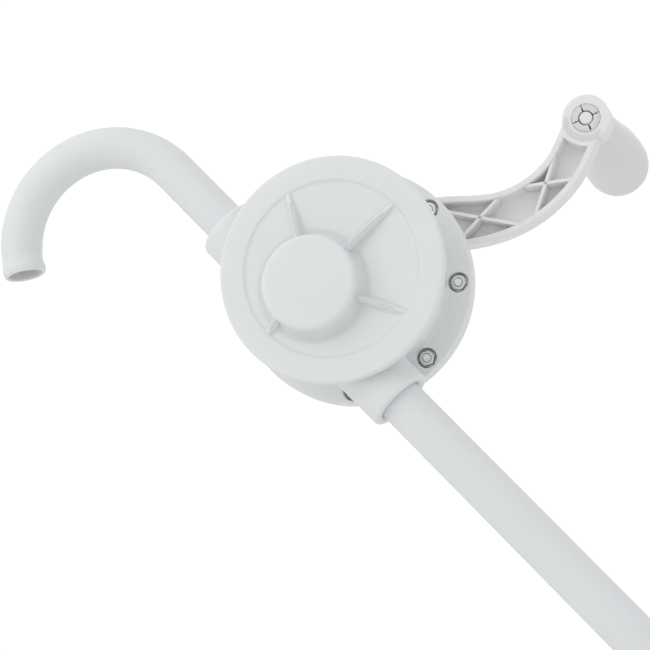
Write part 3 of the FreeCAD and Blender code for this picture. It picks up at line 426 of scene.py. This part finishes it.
def rib(root, heading, length, tall, low, half, face, outward, stations=60):
    """Moulded rib standing on a face.  Across it the section goes up a drafted wall with a fillet at its foot
    and a rounded crest; along it the height falls in a straight line from tall to low."""
    share = np.linspace(0.0, 1.0, stations)
    height = tall + (low - tall) * share
    fillet = np.minimum(2.6, 0.5 * height)
    ease = np.minimum(1.7, 0.46 * height)
    crest = half - 0.6
    across = [-half - fillet - 0.4, -half - fillet, -half - 0.45 * fillet, -half - 0.1 * fillet,
              -half + 0 * fillet, -crest + 0 * ease, -crest + 0.3 * ease, -crest + ease]
    up = [-0.9 + 0 * fillet, 0 * fillet, 0.1 * fillet, 0.45 * fillet, fillet, height - ease,
          height - 0.3 * ease, height]
    across = np.stack(across + [-a for a in across[::-1]], -1)
    up = np.stack(up + up[::-1], -1)
    ahead = np.array([math.cos(heading), 0.0, math.sin(heading)])
    side = np.array([-math.sin(heading), 0.0, math.cos(heading)])
    base = np.array([root[0], face, root[1]])
    points = (base + (share * length)[:, None, None] * ahead + across[..., None] * side
              + up[..., None] * np.array([0.0, outward, 0.0]))
    return capped(points), False, True


def reach_to_recess(heading):
    """Distance d from the boss axis to the recess edge: the positive root of |offset + d heading| = radius."""
    offset = rotor_x - case_x
    part = offset * math.cos(heading)
    return -part + math.sqrt(part * part - offset * offset + RECESS_R ** 2)


rib_skins = []
for degrees in (0.0, 62.0, -62.0, 180.0):
    heading = math.radians(degrees)
    length = reach_to_recess(heading) + 2.5
    rib_skins.append(rib((rotor_x + 28.0 * math.cos(heading), pump_z + 28.0 * math.sin(heading)), heading,
                         length - 28.0, 11.6 if degrees else 12.4, 0.5, 1.9, RECESS, -1.0))


def pipe_socket(sign, bore, sleeve, mouth, spread):
    """Pipe socket: a turned sleeve whose foot is a fillet.  For each angle the fillet is the curve through
    the sleeve wall, the line where wall and casing meet, and the casing a little further out."""
    angle = np.linspace(0.0, 2.0 * np.pi, 160, endpoint=False)

    def on_casing(radius):
        return np.sqrt(CASE_R ** 2 - (radius * np.cos(angle) - case_x) ** 2)

    lip = eased([(bore, 59.0), (bore, mouth - 2.4, 0.5), (bore + 2.3, mouth - 0.1, 0.8),
                 (sleeve, mouth, 3.2), (sleeve, mouth - 8.0)], steps=7)
    radius = [np.full_like(angle, row[0]) for row in lip]
    height = [np.full_like(angle, row[1]) for row in lip]
    meet, foot = on_casing(sleeve), on_casing(sleeve + spread)
    top = np.minimum(meet + spread, mouth - 9.0)
    for t in np.linspace(0.0, 1.0, 14):
        radius.append((1 - t) ** 2 * sleeve + 2 * t * (1 - t) * sleeve + t ** 2 * (sleeve + spread)
                      + 0 * angle)
        height.append((1 - t) ** 2 * top + 2 * t * (1 - t) * meet + t ** 2 * foot)
    radius += [0 * angle + sleeve + spread - 1.0, 0 * angle + bore + 1.0]
    height += [foot - 3.0, np.minimum(foot - 3.0, 56.0)]
    radius, height = np.array(radius), np.array(height)
    points = np.stack([radius * np.cos(angle), radius * np.sin(angle), pump_z + sign * height], -1)
    return points, True, True


housing = mould("housing", [
    housing_shell, *[flange_sector(step) for step in range(8)], flange_edge, boss_skin, *rib_skins,
    pipe_socket(-1.0, 16.6, 24.0, 95.0, 10.5), pipe_socket(1.0, 15.57, 24.4, 90.0, 8.5)],
    "pump", white_moulding)
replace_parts(housing, "pump_body")


# ---------------------------------------------------------------- cover on the crank side
# A flat white moulding that closes the chamber.  It carries the stuffing tower for the shaft, braced by six
# ribs, and a hexagonal gland nut screws into the tower to press the seal.
COVER_R, COVER_BACK, TOWER_BACK = 84.5, 51.0, 66.0
cover_profile = eased([
    (0.0, 42.0), (CHAMBER_R - 0.1, 42.0, 0.5), (CHAMBER_R - 0.1, 45.0, 0.3), (COVER_R, 45.0, 0.5),
    (COVER_R, COVER_BACK, 1.6),
    (66.5, COVER_BACK, 0.6), (66.0, COVER_BACK - 0.9, 0.6), (0.0, COVER_BACK - 0.9)])
tower_profile = eased([
    (0.0, 49.0), (27.0, 49.0), (27.0, COVER_BACK - 1.1), (22.4, COVER_BACK - 0.8, 3.0),
    (21.8, TOWER_BACK, 1.2), (17.2, TOWER_BACK, 0.8), (16.2, TOWER_BACK - 3.0, 0.3),
    (0.0, TOWER_BACK - 3.0)])
cover_skins = [turned(cover_profile, (case_x, 0.0, pump_z), count=256),
               turned(tower_profile, (rotor_x, 0.0, pump_z), count=160)]
for step in range(6):
    heading = math.radians(60.0 * step + 30.0)
    length = reach_to_recess(heading) + 3.4
    cover_skins.append(rib((rotor_x + 18.0 * math.cos(heading), pump_z + 18.0 * math.sin(heading)), heading,
                           length - 18.0, 10.4, 0.8, 1.9, COVER_BACK - 0.9, 1.0))
cover = mould("cover", cover_skins, "pump", white_moulding)
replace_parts(cover, "cover_plate")


def hexagonal(rows, flat, centre, turn=0.0, count=96):
    """Hexagonal nut or head: at angle a the radius is the smaller of flat / cos(a folded to 30 degrees) and
    the row's own limit, so a growing limit cuts the round chamfer across the corners."""
    angle = np.linspace(0.0, 2.0 * np.pi, count, endpoint=False)
    side = flat / np.cos((angle + np.pi / 6.0) % (np.pi / 3.0) - np.pi / 6.0)
    limit, reach = np.asarray(rows, float).T
    radius = np.minimum(side[None], limit[:, None])
    points = np.stack([centre[0] + radius * np.cos(angle + turn), centre[1] + reach[:, None] + 0 * radius,
                       centre[2] + radius * np.sin(angle + turn)], -1)
    return points


gland_rows = [(10.4, 61.8), (10.4, 70.4), (11.0, 71.0), (16.6, 71.0), (17.6, 70.75), (18.6, 70.4),
              (19.6, 69.9), (20.6, 69.2), (30.0, 69.1), (30.0, 66.3), (20.3, 66.1), (15.9, 66.1), (15.9, 61.8)]
gland_finish = plastic("gland_moulding", (0.820, 0.826, 0.830), (0.785, 0.792, 0.797), 0.44)
gland = mould("gland_nut_hex", [(hexagonal(gland_rows, 17.75, (rotor_x, 0.0, pump_z)), True, True)],
              "pump", gland_finish)
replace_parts(gland, "gland_nut")


# ---------------------------------------------------------------- cover bolts, nuts and washers
# Eight M6 stainless hexagon bolts pass from the cover through the flange.  Each has a plain washer and a
# nut in its pocket in the flange, and about two turns of thread stand out of the nut.
def metal(name, colour, rough, dark=0.45):
    """Bright metal: drawn or turned streaks, painted shade in the hollows, polished edges."""
    finish = bpy.data.materials.new(name)
    finish.use_nodes = True
    tree = finish.node_tree
    shader = tree.nodes["Principled BSDF"]
    surface = use(tree, moulded_skin, Grain=2600.0, Flow=400.0, Patch=90.0)
    edge_wear_and_hollow_shade = use(tree, worn_edges_and_painted_hollow_shade, Reach=0.10, Breakup=700.0)
    marks = use(tree, fine_scuffs, Along=60.0, Across=1400.0)
    tone = blend_colours(tree, surface.outputs["Mottle"], colour, tuple(c * 0.82 for c in colour))
    # Painted shade: the hollows are darkened to dark times the colour.
    tone = blend_colours(tree, sums(tree, "MULTIPLY", edge_wear_and_hollow_shade.outputs["PaintedShade"], 0.8), tone,
                         tuple(c * dark for c in colour))
    tone = blend_colours(tree, edge_wear_and_hollow_shade.outputs["Edge"], tone, tuple(min(1.0, c * 1.25) for c in colour))
    tree.links.new(tone, shader.inputs["Base Color"])
    gloss = sums(tree, "MULTIPLY_ADD", surface.outputs["Mottle"], 0.16, rough - 0.08)
    tree.links.new(sums(tree, "MULTIPLY_ADD", marks.outputs["Mark"], 0.18, gloss), shader.inputs["Roughness"])
    lift = sums(tree, "MULTIPLY_ADD", marks.outputs["Mark"], -0.5, surface.outputs["Height"])
    bump = wire(tree, "ShaderNodeBump", [("Height", lift)], Strength=0.4, Distance=0.00006)
    tree.links.new(bump.outputs[0], shader.inputs["Normal"])
    shader.inputs["Metallic"].default_value = 1.0
    return finish


stainless = metal("stainless", (0.84, 0.84, 0.83), 0.44, dark=0.86)


def screw_thread(radius, depth, pitch, start, stop, centre, along="y", count=72, per_turn=12, fade=1.0):
    """Helical thread: radius = crest - depth * (0.5 - 0.5 cos(2 pi (distance / pitch - angle / 2 pi))), the
    depth fading in at both ends, with an eased chamfer at each end; the caller closes the ends with a flat
    pole."""
    rows = int((stop - start) / pitch * per_turn)
    reach = np.linspace(start, stop, rows)[:, None]
    angle = np.linspace(0.0, 2.0 * np.pi, count, endpoint=False)[None]
    wave = 0.5 - 0.5 * np.cos(2.0 * np.pi * (reach / pitch - angle / (2.0 * np.pi)))
    ends = np.clip(np.minimum(reach - start, stop - reach) / (fade * pitch), 0.0, 1.0)
    size = radius - depth * (wave * ends + (1.0 - ends) * 0.9)
    if along == "y":
        points = np.stack([centre[0] + size * np.cos(angle), centre[1] + reach + 0 * size,
                           centre[2] + size * np.sin(angle)], -1)
    else:
        points = np.stack([centre[0] + size * np.cos(angle), centre[1] + size * np.sin(angle),
                           centre[2] + reach + 0 * size], -1)
    return points


NUT_FRONT, NUT_BACK = 31.4, 36.4
chamfer = [(4.55, 0.0), (4.85, 0.12), (5.1, 0.26), (5.35, 0.44), (5.65, 0.68), (7.0, 0.8)]
nut_rows = ([(3.1, NUT_FRONT + 0.45), (3.55, NUT_FRONT)] + [(r, NUT_FRONT + d) for r, d in chamfer]
            + [(r, NUT_BACK - d) for r, d in chamfer[::-1]] + [(3.55, NUT_BACK), (3.1, NUT_BACK - 0.45)])
head_rows = ([(0.0, COVER_BACK), (4.6, COVER_BACK), (4.8, COVER_BACK + 0.25), (7.0, COVER_BACK + 0.3)]
             + [(r, COVER_BACK + 4.0 - d) for r, d in chamfer[::-1]]
             + [(4.0, COVER_BACK + 3.94), (0.0, COVER_BACK + 3.86)])
washer_rows = eased([(3.2, 36.42, 0.15), (6.2, 36.42, 0.35), (6.2, 37.99, 0.15), (3.2, 37.99, 0.15)],
                    closed=True, steps=4)
nut_skins, bolt_skins, washer_skins = [], [], []
for step in range(8):
    heading = math.radians(45.0 * step)
    spot = (case_x + RING_R * math.cos(heading), 0.0, pump_z + RING_R * math.sin(heading))
    turn = math.radians(20.0 + 37.0 * step)
    nut_skins.append((hexagonal(nut_rows, 5.0, spot, turn), True, True))
    washer_skins.append(turned(washer_rows, spot, count=64, closed=True))
    bolt_skins.append((hexagonal(head_rows, 5.0, spot, turn + 0.3), False, True))
    bolt_skins.append((capped(screw_thread(2.98, 0.5, 1.0, 29.7, 40.0, spot)), False, True))
nuts = mould("flange_nuts", nut_skins, "pump", stainless, crease=30.0)
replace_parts(nuts, "cover_nuts")
washers = mould("flange_washers", washer_skins, "pump", stainless)
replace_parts(washers, "cover_washers")
bolts = mould("flange_bolts", bolt_skins, "pump", stainless, crease=30.0)
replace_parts(bolts, "cover_bolts")


# ---------------------------------------------------------------- crank arm
# An S-shaped channel moulding, open towards the pump, with crossed braces in the channel.  Its hub sits on
# the square end of the shaft; the eye at the other end carries the grip.
ARM_FRONT, ARM_BACK, ARM_WALL = 75.0, 93.0, 4.9
arm_knots = np.array([
    (rotor_x, 0.0), (48.0, 11.0), (78.0, 13.5), (103.0, 4.5), (122.1, -11.8), (139.4, -25.4),
    (158.5, -34.5), (180.0, -38.65), (199.8, -37.6), (218.4, -31.6), (pin_x, pin_z - pump_z)])


def smooth_line(knots, distances):
    """Natural cubic through the knots, with chord length as its parameter: the second derivatives solve the
    usual three-term equations, zero at both ends.  Returns points and unit directions."""
    gap = np.linalg.norm(np.diff(knots, axis=0), axis=1)
    where = np.concatenate([[0.0], np.cumsum(gap)])
    size = len(knots)
    system = np.eye(size)
    right = np.zeros((size, knots.shape[1]))
    inner = np.arange(1, size - 1)
    system[inner, inner - 1] = gap[:-1]
    system[inner, inner] = 2.0 * (gap[:-1] + gap[1:])
    system[inner, inner + 1] = gap[1:]
    slope = np.diff(knots, axis=0) / gap[:, None]
    right[inner] = 6.0 * (slope[1:] - slope[:-1])
    curve = np.linalg.solve(system, right)
    at = np.clip(np.asarray(distances) * where[-1], 0.0, where[-1])
    span = np.clip(np.searchsorted(where, at, side="right") - 1, 0, size - 2)
    a = ((where[span + 1] - at) / gap[span])[:, None]
    b = 1.0 - a
    width = gap[span][:, None]
    points = (a * knots[span] + b * knots[span + 1]
              + ((a ** 3 - a) * curve[span] + (b ** 3 - b) * curve[span + 1]) * width ** 2 / 6.0)
    heading = (slope[span] + ((1.0 - 3.0 * a ** 2) * curve[span] + (3.0 * b ** 2 - 1.0) * curve[span + 1])
               * width / 6.0)
    return points, heading / np.linalg.norm(heading, axis=1, keepdims=True)


def soft_step(value):
    """0 below 0, 1 above 1, and 3v^2 - 2v^3 between."""
    value = np.clip(value, 0.0, 1.0)
    return value * value * (3.0 - 2.0 * value)


share = np.concatenate([np.linspace(0.0, 0.075, 20), np.linspace(0.077, 0.125, 70),
                        np.linspace(0.128, 0.895, 190), np.linspace(0.897, 0.945, 70),
                        np.linspace(0.948, 1.0, 14)])
arm_line, arm_heading = smooth_line(arm_knots, share)
half_knots = np.array([(0.0, 21.5), (30.0, 20.3), (50.0, 18.8), (60.0, 17.0), (70.0, 15.7), (80.0, 14.8),
                       (90.0, 14.5), (100.0, 14.5)])
half_table = smooth_line(half_knots, np.linspace(0.0, 1.0, 200))[0]
arm_half = np.interp(share * 100.0, half_table[:, 0], half_table[:, 1])
channel = eased([
    (-18.0, ARM_FRONT, 1.3), (-18.0 + ARM_WALL, ARM_FRONT, 1.0), (-12.2, 89.4, 4.2), (12.2, 89.4, 4.2),
    (18.0 - ARM_WALL, ARM_FRONT, 1.0), (18.0, ARM_FRONT, 1.3), (18.0, ARM_BACK, 2.6),
    (-18.0, ARM_BACK, 2.6)], closed=True, steps=8)
across = channel[:, 0][None] + np.sign(channel[:, 0])[None] * (arm_half[:, None] - 18.0)
depth = np.repeat(channel[:, 1][None], len(share), 0)
normal = np.stack([-arm_heading[:, 1], arm_heading[:, 0]], -1)
flat_points = arm_line[:, None] + across[..., None] * normal[:, None]
to_eye = np.linalg.norm(flat_points - arm_knots[-1], axis=-1)
to_hub = np.linalg.norm(flat_points - arm_knots[0], axis=-1)
opened = soft_step((to_eye - 21.3) / 0.8) * soft_step((to_hub - 27.0) / 0.8)
inside = (depth < 90.0) & (np.abs(channel[:, 0])[None] < 18.0 - ARM_WALL + 1.2)
depth = np.where(inside, ARM_FRONT + (depth - ARM_FRONT) * opened, depth)
# The arm stops short of the eye's bore: points nearer to it are drawn back along the centre line.
EYE_GAP = 13.6
to_bore = arm_knots[-1] - flat_points
run_on = (to_bore * arm_heading[:, None]).sum(-1)
aside = (to_bore * normal[:, None]).sum(-1)
stop = np.maximum(np.sqrt(np.maximum(EYE_GAP ** 2 - aside ** 2, 0.0)), 4.5)
flat_points = flat_points - np.maximum(stop - run_on, 0.0)[..., None] * arm_heading[:, None]
arm_skin = np.stack([flat_points[..., 0], depth, flat_points[..., 1] + pump_z], -1)
end_spot = arm_knots[-1] - EYE_GAP * arm_heading[-1]
near_cap = np.repeat(arm_skin[:1].mean(1, keepdims=True), arm_skin.shape[1], 1)
far_cap = np.tile([end_spot[0], 84.0, end_spot[1] + pump_z], (1, arm_skin.shape[1], 1))
arm_skin = np.concatenate([near_cap, arm_skin, far_cap])


def brace(centre, degrees):
    """Straight bar across the channel.  Along its line it runs as far as the points stay within the arm's
    half width less half a wall; its section is a drafted bar with a rounded crest."""
    heading = np.array([math.cos(math.radians(degrees)), math.sin(math.radians(degrees))])
    reach = np.linspace(-60.0, 60.0, 481)
    trial = np.array(centre) + reach[:, None] * heading
    gap = np.linalg.norm(trial[:, None] - arm_line[None], axis=-1)
    fits = gap.min(1) < arm_half[gap.argmin(1)] - 2.6
    outside = np.flatnonzero(~fits)
    low = reach[outside[outside < 240].max()]
    high = reach[outside[outside > 240].min()]
    section = eased([(-1.2, 76.2, 0.7), (1.2, 76.2, 0.7), (1.7, 91.0, 0.4), (-1.7, 91.0, 0.4)], closed=True)
    side = np.array([-heading[1], heading[0]])
    along = np.linspace(low, high, 12)
    flat = (np.array(centre) + along[:, None] * heading)[:, None] + section[:, 0][None, :, None] * side
    height = np.repeat(section[:, 1][None], len(along), 0)
    return capped(np.stack([flat[..., 0], height, flat[..., 1] + pump_z], -1))


eye_profile = eased([
    (8.6, 76.6, 0.3), (10.8, 76.6, 0.4), (10.9, ARM_FRONT - 0.1, 0.5), (17.8, ARM_FRONT - 0.1, 0.5),
    (17.8, 95.0, 0.9), (8.6, 95.0, 0.4)], closed=True)
hub_profile = eased([
    (0.0, ARM_FRONT - 0.1), (23.0, ARM_FRONT - 0.1, 0.9), (23.0, 94.0, 1.4), (12.5, 94.0, 0.8),
    (11.5, 93.6, 0.4), (0.0, 93.6)])
crank_moulding = plastic("crank_moulding", (0.885, 0.882, 0.865), (0.855, 0.852, 0.836), 0.46, milk=0.20,
                         glow=0.004)
crank_skins = [(arm_skin, False, True), turned(eye_profile, (pin_x, 0.0, pin_z), count=144, closed=True),
               turned(hub_profile, (rotor_x, 0.0, pump_z), count=144)]
for centre, lean, spread in (((131.5, -18.2), -28.0, 29.5), ((183.1, -36.0), -5.9, 33.0)):
    crank_skins += [(brace(centre, lean - spread), False, True), (brace(centre, lean + spread), False, True)]
crank = mould("crank_channel_arm", crank_skins, "crank", crank_moulding)
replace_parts(crank, "crank_arm")


# ---------------------------------------------------------------- grip
# A pear-shaped grip that turns on its own snap stem.  Four sprung legs with hooked ends pass through
# the eye, and a plain pin pushed between them keeps them spread.
grip_knots = np.array([
    (16.2, 97.2), (16.3, 100.0), (15.5, 103.4), (15.0, 108.0), (16.2, 115.0), (18.8, 133.0), (21.2, 153.0),
    (23.4, 175.0), (24.8, 197.0), (25.2, 213.0), (24.9, 224.0), (23.5, 232.0), (20.4, 238.5), (15.4, 243.0),
    (8.2, 245.7), (2.8, 246.3)])
grip_curve, _ = smooth_line(grip_knots, np.linspace(0.0, 1.0, 110))
grip_profile = np.concatenate([
    eased([(0.0, 96.0), (8.2, 96.0), (8.2, 95.35), (15.2, 95.35, 0.8), (16.2, 97.2)]),
    grip_curve, [(2.2, 245.9), (1.8, 245.1), (0.0, 245.1)]])
grip_finish = plastic("grip_moulding", (0.805, 0.795, 0.768), (0.765, 0.752, 0.722), 0.42, milk=0.45,
                      scuff=(40.0, 700.0), gloss_level=0.20, glow=0.006)


def spring_leg(start, sweep):
    """One hooked leg of the snap stem: its profile of (radius, distance) turned through part of a circle,
    the two cut ends closed."""
    hook = eased([(5.5, 112.0), (8.5, 112.0), (8.5, 76.55, 0.2), (10.65, 76.5, 0.3), (10.7, 74.9, 0.5),
                  (8.9, 74.2, 0.9), (5.7, 74.2, 0.6)], closed=True, steps=5)
    angle = start + np.linspace(0.0, sweep, 22)
    radius, reach = hook.T
    points = np.stack([pin_x + radius * np.cos(angle)[:, None], reach + 0 * angle[:, None],
                       pin_z + radius * np.sin(angle)[:, None]], -1)
    return capped(points), False, True


leg_gap = math.radians(9.5)
legs = [spring_leg(math.radians(-23.0 + 90.0 * n) + leg_gap / 2.0, math.pi / 2.0 - leg_gap)
        for n in range(4)]
grip = mould("grip", [turned(grip_profile, (pin_x, 0.0, pin_z), count=144), *legs], "grip",
             grip_finish)
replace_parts(grip, "handle_knob")
pin_profile = eased([(0.0, 74.0), (4.3, 74.0, 0.7), (4.9, 75.4, 0.6), (4.9, 108.0, 0.6), (0.0, 108.0)])
snap_pin = mould("snap_pin", [turned(pin_profile, (pin_x, 0.0, pin_z), count=72)], "grip",
                 crank_moulding)
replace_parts(snap_pin, "knob_pin")


# ---------------------------------------------------------------- spout
# Extruded polypropylene pipe, heated and bent over in one wide arc.  The open end is rounded over
# behind one soft bead, and the lower end turns in its socket against an O-ring.
pipe_finish = plastic("white_pipe", (0.825, 0.832, 0.835), (0.792, 0.799, 0.803), 0.50, grain_size=1400.0,
                      milk=0.15, scuff=(900.0, 22.0), gloss_level=0.12)
BEND_R, BEND_START, SWEEP, TAIL = 69.6, 151.0, math.radians(149.0), 8.0
pipe_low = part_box("spout")[0][2] / MM - pump_z
rise, bow = BEND_START - pipe_low, BEND_R * SWEEP


def spout_axis(distance):
    """Spout centre line at a distance along it: straight up, round an arc towards -X, then straight on.
    Returns the point and the direction of travel."""
    straight = np.minimum(distance, rise)
    swept = np.clip(distance - rise, 0.0, bow) / BEND_R
    beyond = np.maximum(distance - rise - bow, 0.0)
    heading = np.stack([-np.sin(swept), 0 * swept, np.cos(swept)], -1)
    points = np.stack([BEND_R * (np.cos(swept) - 1.0), 0 * swept,
                       pump_z + pipe_low + straight + BEND_R * np.sin(swept)], -1)
    return points + beyond[:, None] * heading, heading


full = rise + bow + TAIL
outside_run = np.concatenate([np.linspace(0.8, full - 12.0, 150), np.linspace(full - 11.8, full - 0.6, 60)])
to_end = full - outside_run
bead = (0.55 * np.exp(-((to_end - 4.6) / 2.4) ** 2) - 0.45 * np.exp(-((to_end - 14.0) / 5.0) ** 2)
        - 0.9 * np.clip(1.0 - to_end / 3.2, 0.0, 1.0) ** 2)
inside_run = np.concatenate([np.linspace(full - 0.9, full - 9.0, 6), np.linspace(full - 12.0, 0.6, 110)])
run = np.concatenate([[0.0], outside_run, [full - 0.15, full, full, full - 0.2], inside_run, [0.0]])
girth = np.concatenate([[14.9], 15.5 + bead, [14.4, 13.9, 13.2, 12.8], 12.5 + 0 * inside_run, [12.9]])
angle = np.linspace(0.0, 2.0 * np.pi, 112, endpoint=False)
line, heading = spout_axis(run)
inward = np.stack([heading[:, 2], 0 * run, -heading[:, 0]], -1)
sideways = np.array([0.0, 1.0, 0.0])
spout_points = line[:, None] + girth[:, None, None] * (
    np.cos(angle)[None, :, None] * inward[:, None] + np.sin(angle)[None, :, None] * sideways)
spout = mould("bent_spout", [(spout_points, True, True)], "spout_pipe", pipe_finish)
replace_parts(spout, "spout")


# ---------------------------------------------------------------- suction tube and couplings
# Three lengths of extruded pipe, cut square, meet inside two ribbed sleeves.  The top length goes up into
# the inlet socket; the bottom one stands in the slotted foot strainer.
def pipe_length(node):
    """Plain tube between the ends of its CAD node, its four rims lightly eased."""
    low, high = (v[2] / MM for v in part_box(node))
    profile = eased([(13.5, low, 0.5), (16.5, low, 0.5), (16.5, high, 0.5), (13.5, high, 0.5)], closed=True)
    piece = mould(node + "_pipe", [turned(profile, (0.0, 0.0, 0.0), "z", 128, closed=True)], "pump",
                  pipe_finish)
    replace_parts(piece, node)


for node in ("suction_tube_upper", "suction_tube_middle", "suction_tube_lower"):
    pipe_length(node)

sleeve_finish = plastic("sleeve_moulding", (0.815, 0.822, 0.826), (0.780, 0.787, 0.792), 0.46)
for node in ("tube_coupling_upper", "tube_coupling_lower"):
    low, high = (v[2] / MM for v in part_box(node))
    centre_z = (low + high) / 2.0
    rows = eased([
        (16.6, centre_z - 1.0), (16.6, low, 0.6), (19.0, low, 0.8), (19.9, low + 4.0, 1.0),
        (19.6, low + 6.0, 0.8), (19.6, centre_z - 4.0), (19.6, centre_z + 4.0), (19.6, high - 6.0, 0.8),
        (19.9, high - 4.0, 1.0), (19.0, high, 0.8), (16.6, high, 0.6), (16.6, centre_z + 1.0),
        (13.5, centre_z + 0.8), (13.5, centre_z - 0.8)], closed=True)
    points, _, _ = turned(rows, (0.0, 0.0, 0.0), "z", 288, closed=True)
    angle = np.linspace(0.0, 2.0 * np.pi, 288, endpoint=False)
    fluted = (rows[:, 0] > 19.3) & (np.abs(rows[:, 1] - centre_z) < 19.5)
    flute = 1.0 - 0.028 * (0.5 - 0.5 * np.cos(24.0 * angle)) ** 2
    points[fluted, :, :2] *= flute[None, :, None]
    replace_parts(mould(node + "_sleeve", [(points, True, True)], "pump", sleeve_finish), node)


# ---------------------------------------------------------------- bung adapter
# A moulded bush that screws into the drum's two inch bung, with a coarse pipe thread, a six-lobed flange to
# turn it by and a tower for the clamp screw.  The tube slides through it.
ADAPTER_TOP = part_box("bung_adapter")[1][2] / MM
SCREW_Z = middle("thumb_screw")[2]
adapter_rows = np.concatenate([
    [(16.6, -19.2, 0, 0), (17.4, -20.0, 0, 0), (27.4, -20.0, 0, 0), (28.2, -19.5, 0, 0)],
    np.stack([np.full(110, 29.8), np.linspace(-19.2, -0.2, 110), np.ones(110), np.zeros(110)], -1),
    [(28.6, 0.1, 0, 0), (28.4, 0.4, 0, 0), (28.4, 2.3, 0, 0), (34.0, 2.4, 0, 0), (36.6, 2.4, 0, 1),
     (37.4, 2.9, 0, 1), (37.6, 3.8, 0, 1), (37.6, 8.6, 0, 1), (37.3, 9.6, 0, 1), (36.4, 10.3, 0, 1),
     (34.6, 10.4, 0, 0.6), (28.0, 10.4, 0, 0), (25.4, 10.9, 0, 0), (24.3, 12.2, 0, 0), (24.0, 14.0, 0, 0),
     (24.0, ADAPTER_TOP - 2.2, 0, 0), (23.6, ADAPTER_TOP - 0.9, 0, 0), (22.5, ADAPTER_TOP - 0.1, 0, 0),
     (21.8, ADAPTER_TOP, 0, 0), (17.6, ADAPTER_TOP, 0, 0), (16.6, ADAPTER_TOP - 0.8, 0, 0)]])
angle = np.linspace(0.0, 2.0 * np.pi, 240, endpoint=False)[None]
radius, reach, has_thread, has_lobes = adapter_rows.T[:, :, None]
PITCH = 2.309
wave = 0.5 - 0.5 * np.cos(2.0 * np.pi * (reach / PITCH - angle / (2.0 * np.pi)))
fading = np.clip(np.minimum(reach + 19.3, -0.1 - reach) / PITCH, 0.0, 1.0)
thread_cut = has_thread * 1.45 * (wave * fading + 0.85 * (1.0 - fading))
lobes = has_lobes * 4.4 * (0.5 + 0.5 * np.cos(6.0 * angle - np.pi)) ** 1.6
radius = radius - thread_cut + lobes
adapter_points = np.stack([radius * np.cos(angle), radius * np.sin(angle), reach + 0 * radius], -1)
pad_profile = eased([(0.0, -18.0), (9.6, -21.0, 1.0), (8.2, -24.5, 1.2), (7.9, -27.5, 0.9), (4.6, -27.5, 0.4),
                     (4.2, -26.5), (0.0, -26.5)])
adapter = mould("bung_bush", [(adapter_points, True, True),
                              turned(pad_profile, (0.0, 0.0, SCREW_Z), "y", 72)],
                "bung", sleeve_finish)
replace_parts(adapter, "bung_adapter")


# ---------------------------------------------------------------- clamp screw
# A plastic wing screw, moulded in one piece, whose tip bears on the tube and holds the pump at its height.
wing_rows = eased([(0.0, -44.0), (6.5, -44.0, 1.2), (8.0, -42.6, 0.8), (8.0, -33.4, 0.8), (6.0, -32.0, 0.8),
                   (4.4, -31.8), (4.4, -29.0), (0.0, -29.0)])
wing_points, _, _ = turned(wing_rows, (0.0, 0.0, 0.0), "y", 160)
angle = np.linspace(0.0, 2.0 * np.pi, 160, endpoint=False)
spread = 1.0 + 0.72 * np.abs(np.cos(angle)) ** 9
broad = np.clip((wing_rows[:, 0] - 4.4) / 3.6, 0.0, 1.0)[:, None]
wing_points[..., 0] *= 1.0 + (spread - 1.0) * broad
wing_points[..., 2] *= 1.0 + (spread - 1.0) * broad
wing_points[..., 2] += SCREW_Z
stem = screw_thread(3.98, 0.6, 1.25, -31.5, -16.7, (0.0, 0.0, SCREW_Z))
clamp = mould("wing_screw", [(wing_points, False, True), (capped(stem), False, True)], "clamp_screw",
              sleeve_finish)
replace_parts(clamp, "thumb_screw")


# ---------------------------------------------------------------- strainer, seals and inner parts
# The slotted strainer is one moulding.  Gasket, seal and O-rings are black nitrile rubber; rotor and vanes are
# turned and sawn plastic; the springs, the crank screw and its washer are stainless.
def rubber(name, colour):
    """Matt elastomer: dark, with fine pitting and a pale bloom in patches."""
    finish = bpy.data.materials.new(name)
    finish.use_nodes = True
    tree = finish.node_tree
    shader = tree.nodes["Principled BSDF"]
    surface = use(tree, moulded_skin, Grain=2200.0, Flow=300.0, Patch=60.0)
    bloom = sums(tree, "MULTIPLY", surface.outputs["Mottle"], 0.5)
    tree.links.new(blend_colours(tree, bloom, colour, tuple(c * 1.9 + 0.02 for c in colour)),
                   shader.inputs["Base Color"])
    tree.links.new(sums(tree, "MULTIPLY_ADD", surface.outputs["Mottle"], 0.2, 0.55), shader.inputs["Roughness"])
    bump = wire(tree, "ShaderNodeBump", [("Height", surface.outputs["Height"])], Strength=0.5, Distance=0.00008)
    tree.links.new(bump.outputs[0], shader.inputs["Normal"])
    return finish


black_rubber = rubber("nitrile_rubber", (0.018, 0.018, 0.018))
turned_plastic = plastic("turned_plastic", (0.77, 0.78, 0.75), (0.72, 0.73, 0.70), 0.46, scuff=(700.0, 30.0))
vane_plastic = plastic("vane_plastic", (0.84, 0.84, 0.80), (0.80, 0.80, 0.75), 0.50, scuff=(30.0, 500.0))
spring_wire = metal("spring_wire", (0.62, 0.62, 0.61), 0.24)
for finish, names in ((black_rubber, ("cover_gasket", "shaft_seal", "spout_oring", "suction_oring",
                                      "bung_gasket")),
                      (turned_plastic, ("rotor", "front_bush", "rear_bush")),
                      (vane_plastic, ("vane_upper", "vane_lower")),
                      (spring_wire, ("vane_springs_upper", "vane_springs_lower")),
                      (stainless, ("crank_screw", "crank_washer")),
                      (sleeve_finish, ("foot_strainer",))):
    for name in names:
        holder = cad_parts[name]
        holder.data.materials.clear()
        holder.data.materials.append(finish)
